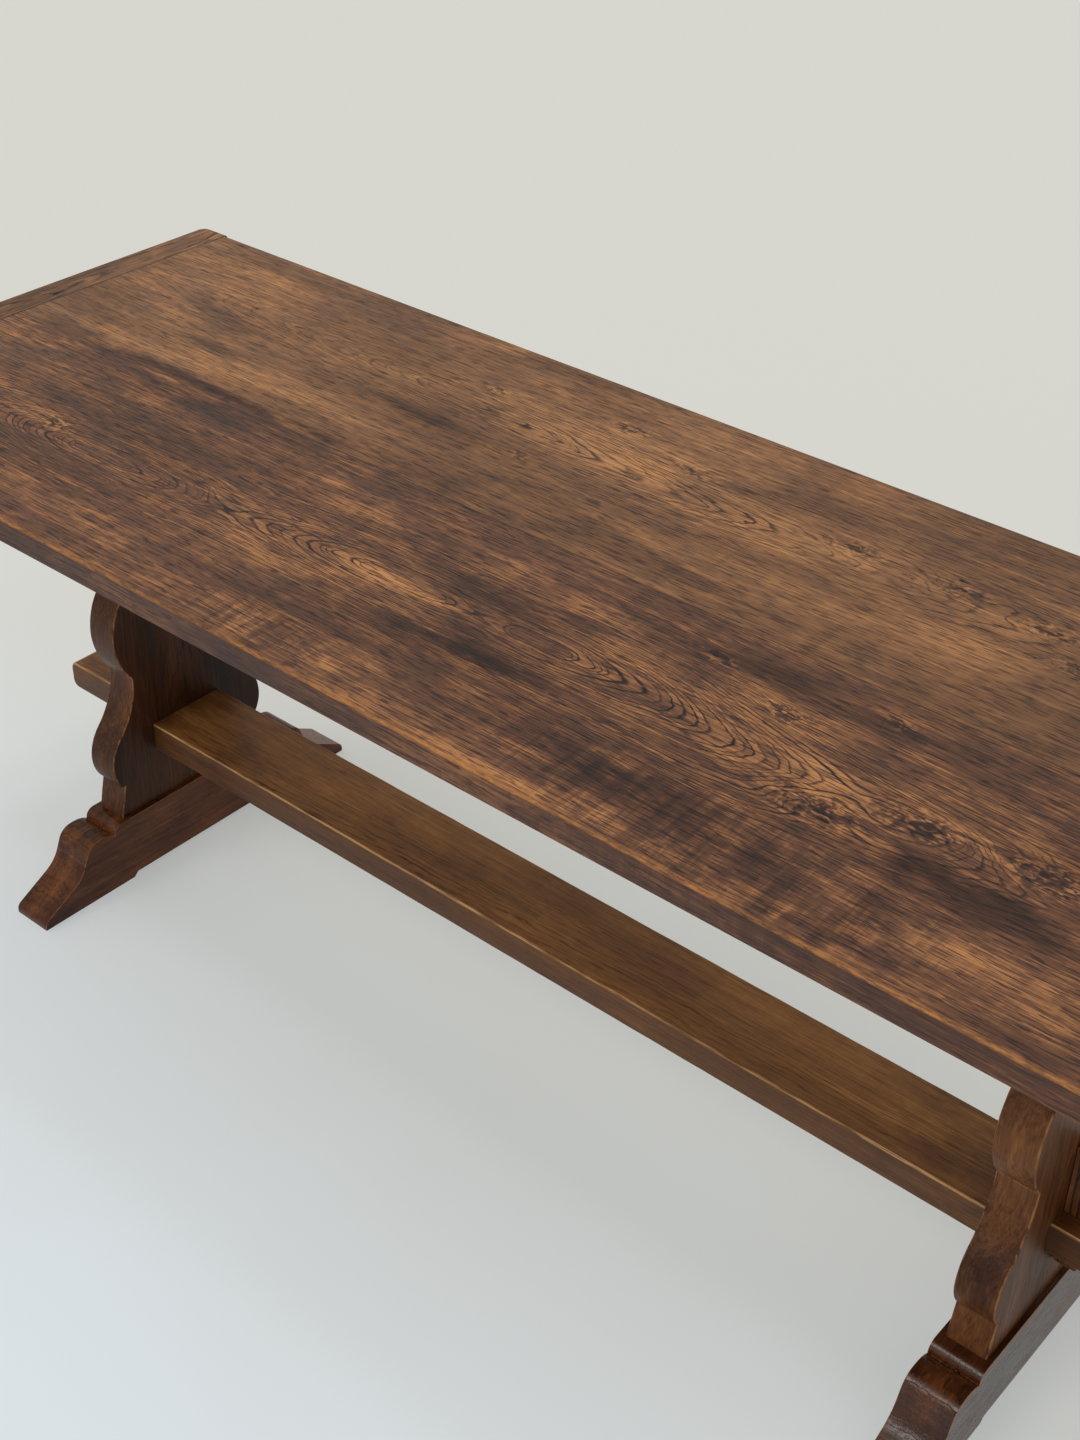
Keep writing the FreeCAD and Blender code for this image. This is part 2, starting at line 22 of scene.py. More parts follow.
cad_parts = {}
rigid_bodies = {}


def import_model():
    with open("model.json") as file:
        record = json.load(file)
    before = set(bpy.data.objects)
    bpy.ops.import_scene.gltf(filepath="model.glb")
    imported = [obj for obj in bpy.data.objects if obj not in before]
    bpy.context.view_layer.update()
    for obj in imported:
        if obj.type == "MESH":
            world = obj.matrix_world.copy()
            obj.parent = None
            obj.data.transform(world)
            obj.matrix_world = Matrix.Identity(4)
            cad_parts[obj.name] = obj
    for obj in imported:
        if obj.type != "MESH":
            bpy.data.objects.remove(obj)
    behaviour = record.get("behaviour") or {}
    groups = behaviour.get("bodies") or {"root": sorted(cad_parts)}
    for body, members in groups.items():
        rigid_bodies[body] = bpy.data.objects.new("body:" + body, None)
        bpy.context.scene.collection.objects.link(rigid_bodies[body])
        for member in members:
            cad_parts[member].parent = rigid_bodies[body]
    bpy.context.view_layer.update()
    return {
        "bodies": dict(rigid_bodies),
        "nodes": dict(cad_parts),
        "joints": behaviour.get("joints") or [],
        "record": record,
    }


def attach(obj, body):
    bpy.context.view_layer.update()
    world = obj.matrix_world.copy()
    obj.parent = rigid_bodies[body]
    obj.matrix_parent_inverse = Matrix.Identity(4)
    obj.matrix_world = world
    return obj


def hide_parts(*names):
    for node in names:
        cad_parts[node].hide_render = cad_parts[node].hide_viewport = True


LOG = logging.getLogger("refectory_table")

MM = 0.001

ADD, SUBTRACT, MULTIPLY, DIVIDE, MULTIPLY_ADD, MINIMUM, MAXIMUM, ABSOLUTE, SQRT, FRACT, FLOOR = (
    ("ShaderNodeMath", operation)
    for operation in (
        "ADD", "SUBTRACT", "MULTIPLY", "DIVIDE", "MULTIPLY_ADD", "MINIMUM", "MAXIMUM", "ABSOLUTE", "SQRT",
        "FRACT", "FLOOR",
    )
)
VECTOR_MATH = "ShaderNodeVectorMath"
NOISE = "ShaderNodeTexNoise"
MAP_RANGE = "ShaderNodeMapRange"
MIX = "ShaderNodeMix"
COORDINATES = "ShaderNodeTexCoord"
SEPARATE = "ShaderNodeSeparateXYZ"
SMOOTH = {"interpolation_type": "SMOOTHSTEP"}
# A Mix node takes plain numbers at its sockets 2 and 3. Set to colours, it takes them at its sockets 6
# and 7, and gives the result at its output 2.
COLOURS = {"data_type": "RGBA", "output": 2}
UNDER, OVER = 6, 7

# Angles between faces in radians: faces below the first are one, edges above the second are arrises,
# and edges below the third are shaded round.
FLAT_ANGLE = 0.002
ARRIS_ANGLE = 0.45
ROUND_ANGLE = 0.6
# Corners closer than this are one, and a worn arris has hollows about this far apart, in mm.
WELD = 0.001
HOLLOW_SIZE = 28.0
# Steps round an arris, rubbing of the arrises that face down, and share of a station that a cut snaps.
ARRIS_STEPS = 2
LOW_RUB = 0.55
SNAP_SHARE = 0.1

Socket = bpy.types.NodeSocket
Material = bpy.types.Material
Draw = Callable[..., Any]
Mark = Union[Socket, float]
Pair = tuple[float, float]
Triple = tuple[float, float, float]
Box = tuple[Triple, Triple]


def linear(colour: str) -> tuple[float, float, float, float]:
    """Turn an sRGB hex colour into linear light.

    Args:
        colour: Six hex digits after a hash sign.

    Returns:
        Linear red, green, blue and a full alpha.
    """
    parts = [int(colour[i : i + 2], 16) / 255 for i in (1, 3, 5)]
    light = [p / 12.92 if p <= 0.04045 else ((p + 0.055) / 1.055) ** 2.4 for p in parts]
    return (light[0], light[1], light[2], 1.0)


def add_node(
    tree: bpy.types.NodeTree,
    kind: Union[str, tuple[str, str]],
    *values: Any,
    output: Any = 0,
    sockets: Optional[dict[Any, Any]] = None,
    **settings: Any,
) -> Optional[Socket]:
    """Add one shader node with its settings, values and links.

    Args:
        tree: Node tree that takes the node.
        kind: Blender's name for the kind of node, with its operation if that is a Math node.
        values: Values or output sockets for the first input sockets, in order.
        output: Name or number of the output socket to hand back.
        sockets: Values or output sockets for other inputs, by name or number.
        settings: Properties of the node itself.

    Returns:
        The chosen output socket, whose node is the new one, or None where the tree ends.
    """
    if isinstance(kind, tuple):
        kind, settings["operation"] = kind
    node = tree.nodes.new(kind)
    for name, setting in settings.items():
        setattr(node, name, setting)
    for key, value in [*enumerate(values), *(sockets or {}).items()]:
        if isinstance(value, Socket):
            tree.links.new(value, node.inputs[key])
        else:
            node.inputs[key].default_value = value
    return node.outputs[output] if node.outputs else None


def blank(owner: Union[Material, bpy.types.World]) -> Draw:
    """Clear the shader nodes of a material or a world.

    Args:
        owner: The material or the world.

    Returns:
        What adds a node to its tree.
    """
    owner.use_nodes = True
    owner.node_tree.nodes.clear()
    return partial(add_node, owner.node_tree)


def figure(
    draw: Draw, place: Socket, size: Pair, detail: float, roughness: float = 0.5, swirl: float = 0.0
) -> Socket:
    """Draw a figure in the wood whose marks have a real size.

    Args:
        draw: Adds a node to the wood.
        place: Place in mm.
        size: Length and width of a mark in mm.
        detail: How many finer layers of marks lie on it.
        roughness: How strong the finer layers are.
        swirl: How far the marks swirl.

    Returns:
        The figure, from 0 to 1.
    """
    along, across = size
    scaled = draw(VECTOR_MATH, place, (1 / along, 1 / across, 1 / across), operation="MULTIPLY")
    layers = {"Scale": 1.0, "Detail": detail, "Roughness": roughness, "Distortion": swirl}
    return draw(NOISE, scaled, sockets=layers)


class Fibre(Enum):
    """Which way the wood's fibres run in a piece, as the row axes along, across and through it."""

    ALONG = ("X", "Y", "Z")
    ACROSS = ("Y", "X", "Z")
    UPRIGHT = ("Z", "Y", "X")

    @property
    def axis(self) -> int:
        """Number of the row axis that the fibres follow."""
        return "XYZ".index(self.value[0])


@dataclass(frozen=True)
class Knot:
    """A knot or burr in the grain, placed in mm along and across the piece from its own zero."""

    along: float
    across: float
    reach: float
    swerve: float = 9.0
    dark: float = 0.5


@dataclass(frozen=True)
class Chatter:
    """A patch where a hand plane chattered across the grain, in mm from the piece's own zero."""

    along: float
    across: float
    length: float
    width: float


@dataclass(frozen=True)
class StainAndShadePatch:
    """A patch drawn darker, or lighter below zero depth, in mm from the piece's own zero: mostly stain,
    some painted shade.
    """

    along: float
    across: float
    length: float
    width: float
    depth: float


@dataclass(frozen=True)
class Line:
    """A straight joint or edge, placed across or along the piece, and the width that it marks, in mm."""

    across: bool
    place: float
    width: float


@dataclass(frozen=True)
class WaxedElm:
    """Elm plank: hand planed, stained dark and waxed for years.

    The stain leaves the coarse early pores nearly black, so every growth ring shows as a thin dark line
    that fades to warmer wood. The wax gives a soft satin gloss, and the arrises are rubbed back to orange
    wood. Seams are joints that have filled with old wax, and brinks are top edges rubbed bare by hands.
    """

    name: str
    fibre: Fibre
    zero: Triple
    seed: float
    tones: tuple[str, str, str, str, str]
    worn: str = "#bf7f42"
    smudge: str = "#2a1710"
    stain: str = "#7d6660"
    ring: float = 4.4
    heart: tuple[Pair, ...] = ((-1.0, 0.0), (1.0, 0.0))
    pith: tuple[Pair, ...] = ((-1.0, 60.0), (1.0, 60.0))
    clear: tuple[Pair, ...] = ((-1.0, 1.0), (1.0, 1.0))
    core: float = 0.0
    half_length: float = 1000.0
    sway: float = 14.0
    shiver: float = 4.0
    ring_depth: float = 0.5
    ring_relief: float = 0.12
    fibre_depth: float = 0.12
    pore_depth: float = 0.45
    mottle_depth: float = 0.55
    patch_depth: float = 0.55
    shimmer: float = 0.25
    squeeze: float = 1.3
    knots: tuple[Knot, ...] = ()
    chatters: tuple[Chatter, ...] = ()
    stain_and_shade_patches: tuple[StainAndShadePatch, ...] = ()
    seams: tuple[Line, ...] = ()
    brinks: tuple[Line, ...] = ()
    # Colour of painted shade on the edge faces, if any.
    painted_edge_shade: Optional[str] = None
    # Direction of the faces that get painted shade, if any.
    painted_shade_side: Optional[Triple] = None
    rub: float = 0.8
    bare: Pair = (0.72, 1.2)
    roughness: Pair = (0.36, 0.54)
    gloss: float = 0.4

    def material(self) -> Material:
        """Draw the wood.

        Returns:
            The finished material.
        """
        stuff = bpy.data.materials.new(self.name)
        draw = blank(stuff)
        place = self._place(draw)
        # No two pieces share their figure, because each moves the noise by its own seed.
        shift = (self.seed * 1371.0, self.seed * 417.0, self.seed * 233.0)
        cast = draw(VECTOR_MATH, place, shift, operation="ADD")
        bend, dark, wild = self._knots(draw, place)
        line, band = self._rings(draw, place, cast, (bend, wild))
        streak, pore = self._fibres(draw, cast, line)
        # The stain took unevenly, in patches about 330 by 105 mm and a mottle of 100 by 30 mm.
        patch = figure(draw, cast, (330, 105), 3.0, 0.55)
        mottle = figure(draw, cast, (100, 30), 5.0, 0.62)
        ripple = self._ripples(draw, place, cast)
        marks = (line, band, streak, pore, patch, mottle, dark, wild, ripple)
        colour = self._colour(draw, place, marks)
        colour = self._edges(draw, place, colour, mottle)
        colour = self._rubbed(draw, colour, streak, mottle)
        self._shade(draw, cast, colour, (line, pore, streak, ripple, mottle))
        return stuff

    def _place(self, draw: Draw) -> Socket:
        """Measure along, across and through the piece, in mm from its own zero.

        Args:
            draw: Adds a node to the wood.

        Returns:
            The place as a vector.
        """
        row = draw(COORDINATES, output="Object")
        millimetres = draw(VECTOR_MATH, row, operation="SCALE", sockets={"Scale": 1 / MM})
        local = draw(VECTOR_MATH, millimetres, self.zero, operation="SUBTRACT")
        parts = draw(SEPARATE, local).node.outputs
        return draw("ShaderNodeCombineXYZ", *[parts[axis] for axis in self.fibre.value])

    def _through(self, draw: Draw, along: Socket, points: Sequence[Pair]) -> Socket:
        """Draw a smooth line through listed points along the piece.

        Args:
            draw: Adds a node to the wood.
            along: Place along the piece in mm.
            points: Places along the piece in mm, and the values there.

        Returns:
            The line's value.
        """
        lowest = min(value for _, value in points) - 1.0
        highest = max(value for _, value in points) + 1.0
        share = draw(MAP_RANGE, along, -self.half_length, self.half_length, 0.0, 1.0)
        curve = draw("ShaderNodeFloatCurve", 1.0, share)
        line = curve.node.mapping.curves[0]
        while len(line.points) < len(points):
            line.points.new(0.5, 0.5)
        for point, (place, value) in zip(line.points, sorted(points)):
            point.location = (
                min(max(0.5 + place / (2 * self.half_length), 0.0), 1.0),
                (value - lowest) / (highest - lowest),
            )
        curve.node.mapping.update()
        return draw(MAP_RANGE, curve, 0.0, 1.0, lowest, highest)

    def _away(self, draw: Draw, place: Socket, middle: Pair, reach: Pair) -> Socket:
        """Measure how far a place is from the middle of a patch.

        Args:
            draw: Adds a node to the wood.
            place: Place in the piece in mm.
            middle: Where the patch lies along and across the piece, in mm.
            reach: How far it reaches along and across, in mm.

        Returns:
            The distance, as a share of the reach.
        """
        off = draw(VECTOR_MATH, place, (*middle, 0.0), operation="SUBTRACT")
        size = (1 / reach[0], 1 / reach[1], 0.0)
        scaled = draw(VECTOR_MATH, off, size, operation="MULTIPLY")
        return draw(VECTOR_MATH, scaled, operation="LENGTH", output="Value")

    def _knots(self, draw: Draw, place: Socket) -> tuple[Mark, Mark, Mark]:
        """Swerve the rings round each knot and darken its heart.

        Args:
            draw: Adds a node to the wood.
            place: Place in the piece in mm.

        Returns:
            How far the rings swerve, in mm, how dark the knots are, and how wild the grain is round them.
        """
        bend: Mark = 0.0
        dark: Mark = 0.0
        wild: Mark = 0.0
        for knot in self.knots:
            away = self._away(draw, place, (knot.along, knot.across), (knot.reach / 0.45, knot.reach))
            near = draw(MAP_RANGE, away, 2.6, 0.0, 0.0, 1.0, interpolation_type="SMOOTHERSTEP")
            bend = draw(MULTIPLY_ADD, near, knot.swerve, bend)
            core = draw(MAP_RANGE, away, 1.3, 0.0, 0.0, 1.0, **SMOOTH)
            dark = draw(MULTIPLY_ADD, core, knot.dark, dark)
            swirl = draw(MAP_RANGE, away, 2.2, 0.6, 0.0, 1.0, **SMOOTH)
            wild = draw(MAXIMUM, wild, swirl)
        return bend, dark, wild

    def _rings(
        self, draw: Draw, place: Socket, cast: Socket, knots: tuple[Mark, Mark]
    ) -> tuple[Socket, Socket]:
        """Cut the trunk's growth rings: distance from a pith line that wanders under the surface.

        Where the pith comes near the face the rings close into ovals, and beside that they run as arches.

        Args:
            draw: Adds a node to the wood.
            place: Place in the piece in mm.
            cast: Place shifted for the noise.
            knots: Swerve of the rings round knots in mm, and how wild the grain is there.

        Returns:
            The dark line at each ring's start, and each ring's own tone.
        """
        bend, wild = knots
        parts = draw(SEPARATE, place).node.outputs
        heart = self._through(draw, parts[0], self.heart)
        pith = self._through(draw, parts[0], self.pith)
        # A slow sway about 800 mm long and 200 mm wide, and a shiver about 70 by 18 mm with finer teeth.
        sway = figure(draw, cast, (800, 200), 1.0)
        shiver = figure(draw, cast, (70, 18), 3.0)
        swayed = draw(MAP_RANGE, sway, 0.0, 1.0, -self.sway, self.sway)
        shaken = draw(MAP_RANGE, shiver, 0.0, 1.0, -self.shiver, self.shiver)
        more = draw(MULTIPLY_ADD, wild, 2.5, 1.0)
        shaken = draw(MULTIPLY, shaken, more)
        aside = draw(SUBTRACT, parts[1], heart)
        aside = draw(ADD, aside, swayed)
        aside = draw(MULTIPLY, aside, self.squeeze)
        below = draw(ADD, parts[2], pith)
        square = draw(MULTIPLY, below, below)
        square = draw(MULTIPLY_ADD, aside, aside, square)
        radius = draw(SQRT, square)
        radius = draw(ADD, radius, shaken)
        radius = draw(ADD, radius, bend)
        # Where the face just grazes one ring, it shows as a plain eye with no lines in it.
        eye = draw(MAP_RANGE, radius, self.core - 2.0, self.core, 1.0, 0.0)
        radius = draw(MAXIMUM, radius, self.core)
        # Lean and fat years change the ring width over about five rings.
        years = draw(DIVIDE, radius, self.ring)
        lean = draw(MULTIPLY, years, 0.22)
        season = draw(NOISE, noise_dimensions="1D", sockets={"W": lean, "Scale": 1.0, "Detail": 1.0})
        years = draw(MULTIPLY_ADD, season, 4.2, years)
        part = draw(FRACT, years)
        onset = draw(MAP_RANGE, part, 0.0, 0.08, 0.0, 1.0)
        fade = draw(MAP_RANGE, part, 0.08, 0.36, 1.0, 0.0, **SMOOTH)
        line = draw(MINIMUM, onset, fade)
        # Each year has its own tone, and starts with a strong or a weak line.
        year = draw(FLOOR, years)
        band = draw("ShaderNodeTexWhiteNoise", noise_dimensions="1D", sockets={"W": year})
        strong = draw(MAP_RANGE, band, 0.0, 1.0, 0.2, 1.1)
        line = draw(MULTIPLY, line, strong)
        # The lines are boldest over the heart of the trunk, and fade to straight fine grain beside it.
        spread = draw(ABSOLUTE, aside)
        bold = draw(MAP_RANGE, spread, 40.0, 150.0, 1.0, 0.3, **SMOOTH)
        bold = draw(MULTIPLY, bold, self._through(draw, parts[0], self.clear))
        bold = draw(MAXIMUM, bold, wild)
        # A line is a row of pores, so it is broken every 60 mm or so.
        dash = figure(draw, cast, (60, 6), 3.0)
        dash = draw(MAP_RANGE, dash, 0.36, 0.56, 0.5, 1.0)
        shown = draw(MULTIPLY, bold, dash)
        line = draw(MULTIPLY, line, shown)
        # The wood is more golden in the eyes and between bold lines.
        golden = draw(MULTIPLY_ADD, eye, 0.5, band)
        return line, draw(MULTIPLY_ADD, bold, 0.4, golden)

    def _fibres(self, draw: Draw, cast: Socket, line: Socket) -> tuple[Socket, Socket]:
        """Draw the long fibres and the open pores, which crowd into the ring lines.

        Args:
            draw: Adds a node to the wood.
            cast: Place shifted for the noise.
            line: Dark line at each ring's start.

        Returns:
            The fibres' streaks and the pores.
        """
        # Bundles of fibres about 260 mm long and 5 mm wide, and finer ones of 50 by 2.6 mm.
        bundle = figure(draw, cast, (260, 5), 3.0, 0.65)
        thread = figure(draw, cast, (50, 2.6), 2.0, 0.6)
        streak = draw(ADD, bundle, thread)
        streak = draw(MAP_RANGE, streak, 0.7, 1.3, 0.0, 1.0, clamp=False)
        # Real elm pores are 0.2 mm wide. They are drawn 2.2 mm wide and 30 mm long, so that they show.
        pore = figure(draw, cast, (30, 2.2), 2.0)
        open_pore = draw(MAP_RANGE, pore, 0.54, 0.60, 0.0, 1.0)
        crowd = draw(MAP_RANGE, line, 0.0, 1.0, 0.6, 1.0)
        return streak, draw(MULTIPLY, open_pore, crowd)

    def _ripples(self, draw: Draw, place: Socket, cast: Socket) -> Socket:
        """Lay the shimmer of curled fibres across the grain, strongest where the plane chattered on them.

        Args:
            draw: Adds a node to the wood.
            place: Place in the piece in mm.
            cast: Place shifted for the noise.

        Returns:
            The ripples, from about -1 to 1.
        """
        # Bands about 17 mm long and 110 mm wide, which run across the grain.
        curl = figure(draw, cast, (17, 110), 4.0, 0.7, 0.5)
        wave = draw(MAP_RANGE, curl, 0.32, 0.68, -1.0, 1.0, clamp=False)
        total: Mark = self.shimmer
        for patch in self.chatters:
            reach = (patch.length / 2, patch.width / 2)
            away = self._away(draw, place, (patch.along, patch.across), reach)
            near = draw(MAP_RANGE, away, 1.0, 0.35, 0.0, 1.0, **SMOOTH)
            total = draw(MAXIMUM, total, near)
        return draw(MULTIPLY, wave, total)

    def _stain_and_shade_patches(self, draw: Draw, place: Socket, mottle: Socket) -> Mark:
        """Lay the patches drawn darker or lighter, mostly stain and some painted shade, with ragged
        outlines.

        Args:
            draw: Adds a node to the wood.
            place: Place in the piece in mm.
            mottle: Mottle of the stain, which frays the outlines.

        Returns:
            How much darker the wood is.
        """
        total: Mark = 0.0
        fray = draw(MAP_RANGE, mottle, 0.2, 0.8, -0.9, 0.9)
        for tone_patch in self.stain_and_shade_patches:
            reach = (tone_patch.length / 2, tone_patch.width / 2)
            away = self._away(draw, place, (tone_patch.along, tone_patch.across), reach)
            ragged = draw(ADD, away, fray)
            near = draw(MAP_RANGE, ragged, 1.5, 0.0, 0.0, 1.0, **SMOOTH)
            total = draw(MULTIPLY_ADD, near, tone_patch.depth, total)
        return total

    def _colour(self, draw: Draw, place: Socket, marks: tuple[Mark, ...]) -> Socket:
        """Mix the marks of the wood into one tone, and give the tone its stain and its painted shade.

        Args:
            draw: Adds a node to the wood.
            place: Place in the piece in mm.
            marks: Ring line, ring tone, streak, pore, patch, mottle, knot, wild grain and ripple.

        Returns:
            The colour.
        """
        line, band, streak, pore, patch, mottle, dark, wild, ripple = marks
        tone_patch = self._stain_and_shade_patches(draw, place, mottle)
        lighter = draw(MINIMUM, tone_patch, 0.0)
        darker = draw(MAXIMUM, tone_patch, 0.0)
        tone = draw(MAP_RANGE, patch, 0.5, 0.75, 0.46, 0.46 + 0.4 * self.patch_depth)
        # Burrs swirl in light and dark curls about 14 by 9 mm.
        swirl = figure(draw, place, (14, 9), 2.0, swirl=1.2)
        curly = draw(MAP_RANGE, swirl, 0.35, 0.65, -1.0, 1.0)
        burr = draw(MULTIPLY, wild, curly)
        fleck = draw(MAP_RANGE, swirl, 0.56, 0.42, 0.2, 1.0)
        dark = draw(MULTIPLY, dark, fleck)
        # Each mark with its gain, and what keeps the mean tone where it was.
        parts = (
            (streak, 2 * self.fibre_depth, -self.fibre_depth),
            (mottle, self.mottle_depth, -0.5 * self.mottle_depth),
            (band, 0.10, -0.05),
            (line, -self.ring_depth, 0.2 * self.ring_depth),
            (pore, -self.pore_depth, 0.2 * self.pore_depth),
            (dark, -0.45, 0.0),
            (burr, 0.2, 0.0),
            (ripple, 0.15, 0.0),
            (lighter, -0.45, 0.0),
        )
        for mark, gain, rest in parts:
            tone = draw(MULTIPLY_ADD, mark, gain, tone)
            if rest:
                tone = draw(ADD, tone, rest)
        colour = draw("ShaderNodeValToRGB", tone)
        ramp = colour.node.color_ramp
        places = (0.0, 0.28, 0.5, 0.72, 1.0)
        while len(ramp.elements) < len(places):
            ramp.elements.new(0.5)
        for stop, at, hue in zip(ramp.elements, places, self.tones):
            stop.position = at
            stop.color = linear(hue)
        # Where the wood drank more stain, where a patch is drawn darker, and where painted shade falls, all
        # of its marks are darker alike.
        stain_and_painted_shade = draw(MAP_RANGE, patch, 0.52, 0.25, 0.0, self.patch_depth)
        stain_and_painted_shade = draw(ADD, stain_and_painted_shade, darker)
        if self.painted_shade_side:
            # Painted shade: a face turned inwards, towards the other trestle, is drawn darker.
            facing = draw(COORDINATES, output="Normal")
            turned = draw(VECTOR_MATH, facing, self.painted_shade_side, operation="DOT_PRODUCT", output="Value")
            painted_inward_shade = draw(MAP_RANGE, turned, 0.6, 0.95, 0.0, 0.65)
            stain_and_painted_shade = draw(ADD, stain_and_painted_shade, painted_inward_shade)
        # The stain colour tints both the stain and the painted shade.
        stained = {UNDER: colour, OVER: linear(self.stain)}
        colour = draw(MIX, stain_and_painted_shade, **COLOURS, blend_type="MULTIPLY", sockets=stained)
        smudged = draw(MAP_RANGE, dark, 0.15, 0.9, 0.0, 0.7)
        return draw(MIX, smudged, **COLOURS, sockets={UNDER: colour, OVER: linear(self.smudge)})

    def _edges(self, draw: Draw, place: Socket, colour: Socket, mottle: Socket) -> Socket:
        """Fill the joints with old wax, paint shade on the edge faces, and rub the top edges bare.

        Args:
            draw: Adds a node to the wood.
            place: Place in the piece in mm.
            colour: Colour of the stained wood.
            mottle: Mottle of the stain.

        Returns:
            The colour with its joints and edges.
        """
        spread = draw(SEPARATE, place).node.outputs
        layers: list[tuple[Socket, str]] = []
        for seam in self.seams:
            off = draw(SUBTRACT, spread[int(seam.across)], seam.place)
            away = draw(ABSOLUTE, off)
            wide = draw(MAP_RANGE, mottle, 0.3, 0.7, 0.5 * seam.width, 1.5 * seam.width)
            share = draw(DIVIDE, away, wide)
            layers.append((draw(MAP_RANGE, share, 0.25, 1.0, 0.7, 0.0, **SMOOTH), self.smudge))
        # Painted shade: the faces below the top surface are drawn darker.
        if self.painted_edge_shade:
            side = draw(MAP_RANGE, spread[2], -2.2, -4.2, 0.0, 0.6, **SMOOTH)
            layers.append((side, self.painted_edge_shade))
        # The stain has come off the brinks in flakes about 12 mm long and 2 mm wide.
        flake = figure(draw, place, (12, 2), 2.0, 0.6)
        flake = draw(MAP_RANGE, flake, 0.42, 0.60, 0.3, 1.0)
        worn = draw(MAP_RANGE, mottle, 0.36, 0.60, 0.45, 1.0)
        loose = draw(MULTIPLY, flake, worn)
        high = draw(MAP_RANGE, spread[2], -4.0, -1.5, 0.0, 1.0)
        for brink in self.brinks:
            off = draw(SUBTRACT, spread[int(brink.across)], brink.place)
            away = draw(ABSOLUTE, off)
            near = draw(MAP_RANGE, away, brink.width, 0.2 * brink.width, 0.0, 1.0)
            near = draw(MULTIPLY, near, high)
            layers.append((draw(MULTIPLY, near, 0.35), self.smudge))
            layers.append((draw(MULTIPLY, near, loose), self.worn))
        for share, hue in layers:
            colour = draw(MIX, share, **COLOURS, sockets={UNDER: colour, OVER: linear(hue)})
        return colour

    def _rubbed(self, draw: Draw, colour: Socket, streak: Socket, mottle: Socket) -> Socket:
        """Rub the stain off the arrises, in patches.

        Args:
            draw: Adds a node to the wood.
            colour: Colour of the stained wood.
            streak: Streaks of the fibres.
            mottle: Mottle of the stain.

        Returns:
            The colour with its worn arrises.
        """
        arris = draw("ShaderNodeAttribute", attribute_name="rubbed", output="Fac")
        thin = draw(ADD, mottle, streak)
        thin = draw(MAP_RANGE, thin, *self.bare, 0.0, 1.0)
        bare = draw(MULTIPLY, arris, thin)
        bare = draw(MULTIPLY, bare, self.rub)
        return draw(MIX, bare, **COLOURS, sockets={UNDER: colour, OVER: linear(self.worn)})

    def _shade(self, draw: Draw, cast: Socket, colour: Socket, marks: tuple[Socket, ...]) -> None:
        """Give the wood its waxed gloss and its relief.

        Args:
            draw: Adds a node to the wood.
            cast: Place shifted for the noise.
            colour: Colour of the wood.
            marks: Ring line, pore, streak, ripple and mottle.
        """
        line, pore, streak, ripple, mottle = marks
        low, high = self.roughness
        dull = draw(MAP_RANGE, mottle, 0.3, 0.7, low, high)
        dull = draw(MULTIPLY_ADD, pore, 0.10, dull)
        dull = draw(MULTIPLY_ADD, line, 0.05, dull)
        # Hand planing leaves hollows about 90 mm long and 45 mm wide.
        hollow = figure(draw, cast, (90, 45), 1.0)
        relief = draw(MULTIPLY, hollow, 0.5)
        for mark, gain in ((streak, 0.10), (pore, -0.22), (line, -self.ring_relief), (ripple, 0.06)):
            relief = draw(MULTIPLY_ADD, mark, gain, relief)
        bump = {"Strength": 0.5, "Distance": 0.8 * MM, "Height": relief}
        wax = {
            "Base Color": colour,
            "Roughness": dull,
            "Normal": draw("ShaderNodeBump", sockets=bump),
            "IOR": 1.5,
            "Specular IOR Level": self.gloss,
        }
        surface = draw("ShaderNodeBsdfPrincipled", sockets=wax)
        draw("ShaderNodeOutputMaterial", surface)


FRONT_TONES = ("#1a0f0c", "#301e19", "#4b3126", "#714a32", "#c08550")
BACK_TONES = ("#25150e", "#432a1c", "#63442e", "#875d3c", "#bb8552")
RAIL_TONES = ("#301c0e", "#53331a", "#764c26", "#8f6031", "#b48146")
PLANK_TONES = ("#1a0b04", "#331a0a", "#4e2b13", "#69401f", "#8f5e30")
FOOT_TONES = ("#1a0a04", "#391c0c", "#563018", "#744424", "#9e6536")
# The right foot's tones are the foot's tones drawn darker, as painted shade.
PAINTED_SHADE_FOOT_TONES = ("#120703", "#241008", "#3a1d0d", "#532c14", "#7e4b26")

# The top is dull, its edge faces get painted shade, and its brinks stand for rubbed arrises.
TOP_WAX: dict[str, Any] = {"painted_edge_shade": "#432a22", "rub": 0.0, "gloss": 0.25}


@dataclass(frozen=True)
class BlackenedSteel:
    """Steel wood screw, blackened by heat and oil: dull dark grey with fine tool marks and bare specks."""

    name: str = "blackened_steel_turned"
    dark: str = "#24211f"
    bare: str = "#6a625a"

    def material(self) -> Material:
        """Draw the steel.

        Returns:
            The finished material.
        """
        stuff = bpy.data.materials.new(self.name)
        draw = blank(stuff)
        place = draw(COORDINATES, output="Object")
        # Tool marks are 0.3 mm wide, and blotches of oil about 4 mm.
        tooled = draw(NOISE, place, sockets={"Scale": 1 / (0.3 * MM), "Detail": 1.0})
        blotch = draw(NOISE, place, sockets={"Scale": 1 / (4 * MM), "Detail": 4.0})
        share = draw(MAP_RANGE, blotch, 0.45, 0.7, 0.0, 1.0)
        hues = {UNDER: linear(self.dark), OVER: linear(self.bare)}
        bump = {"Strength": 0.3, "Distance": 0.1 * MM, "Height": tooled}
        steel = {
            "Base Color": draw(MIX, share, **COLOURS, sockets=hues),
            "Roughness": draw(MAP_RANGE, tooled, 0.3, 0.7, 0.35, 0.6),
            "Normal": draw("ShaderNodeBump", sockets=bump),
            "Metallic": 1.0,
        }
        surface = draw("ShaderNodeBsdfPrincipled", sockets=steel)
        draw("ShaderNodeOutputMaterial", surface)
        return stuff


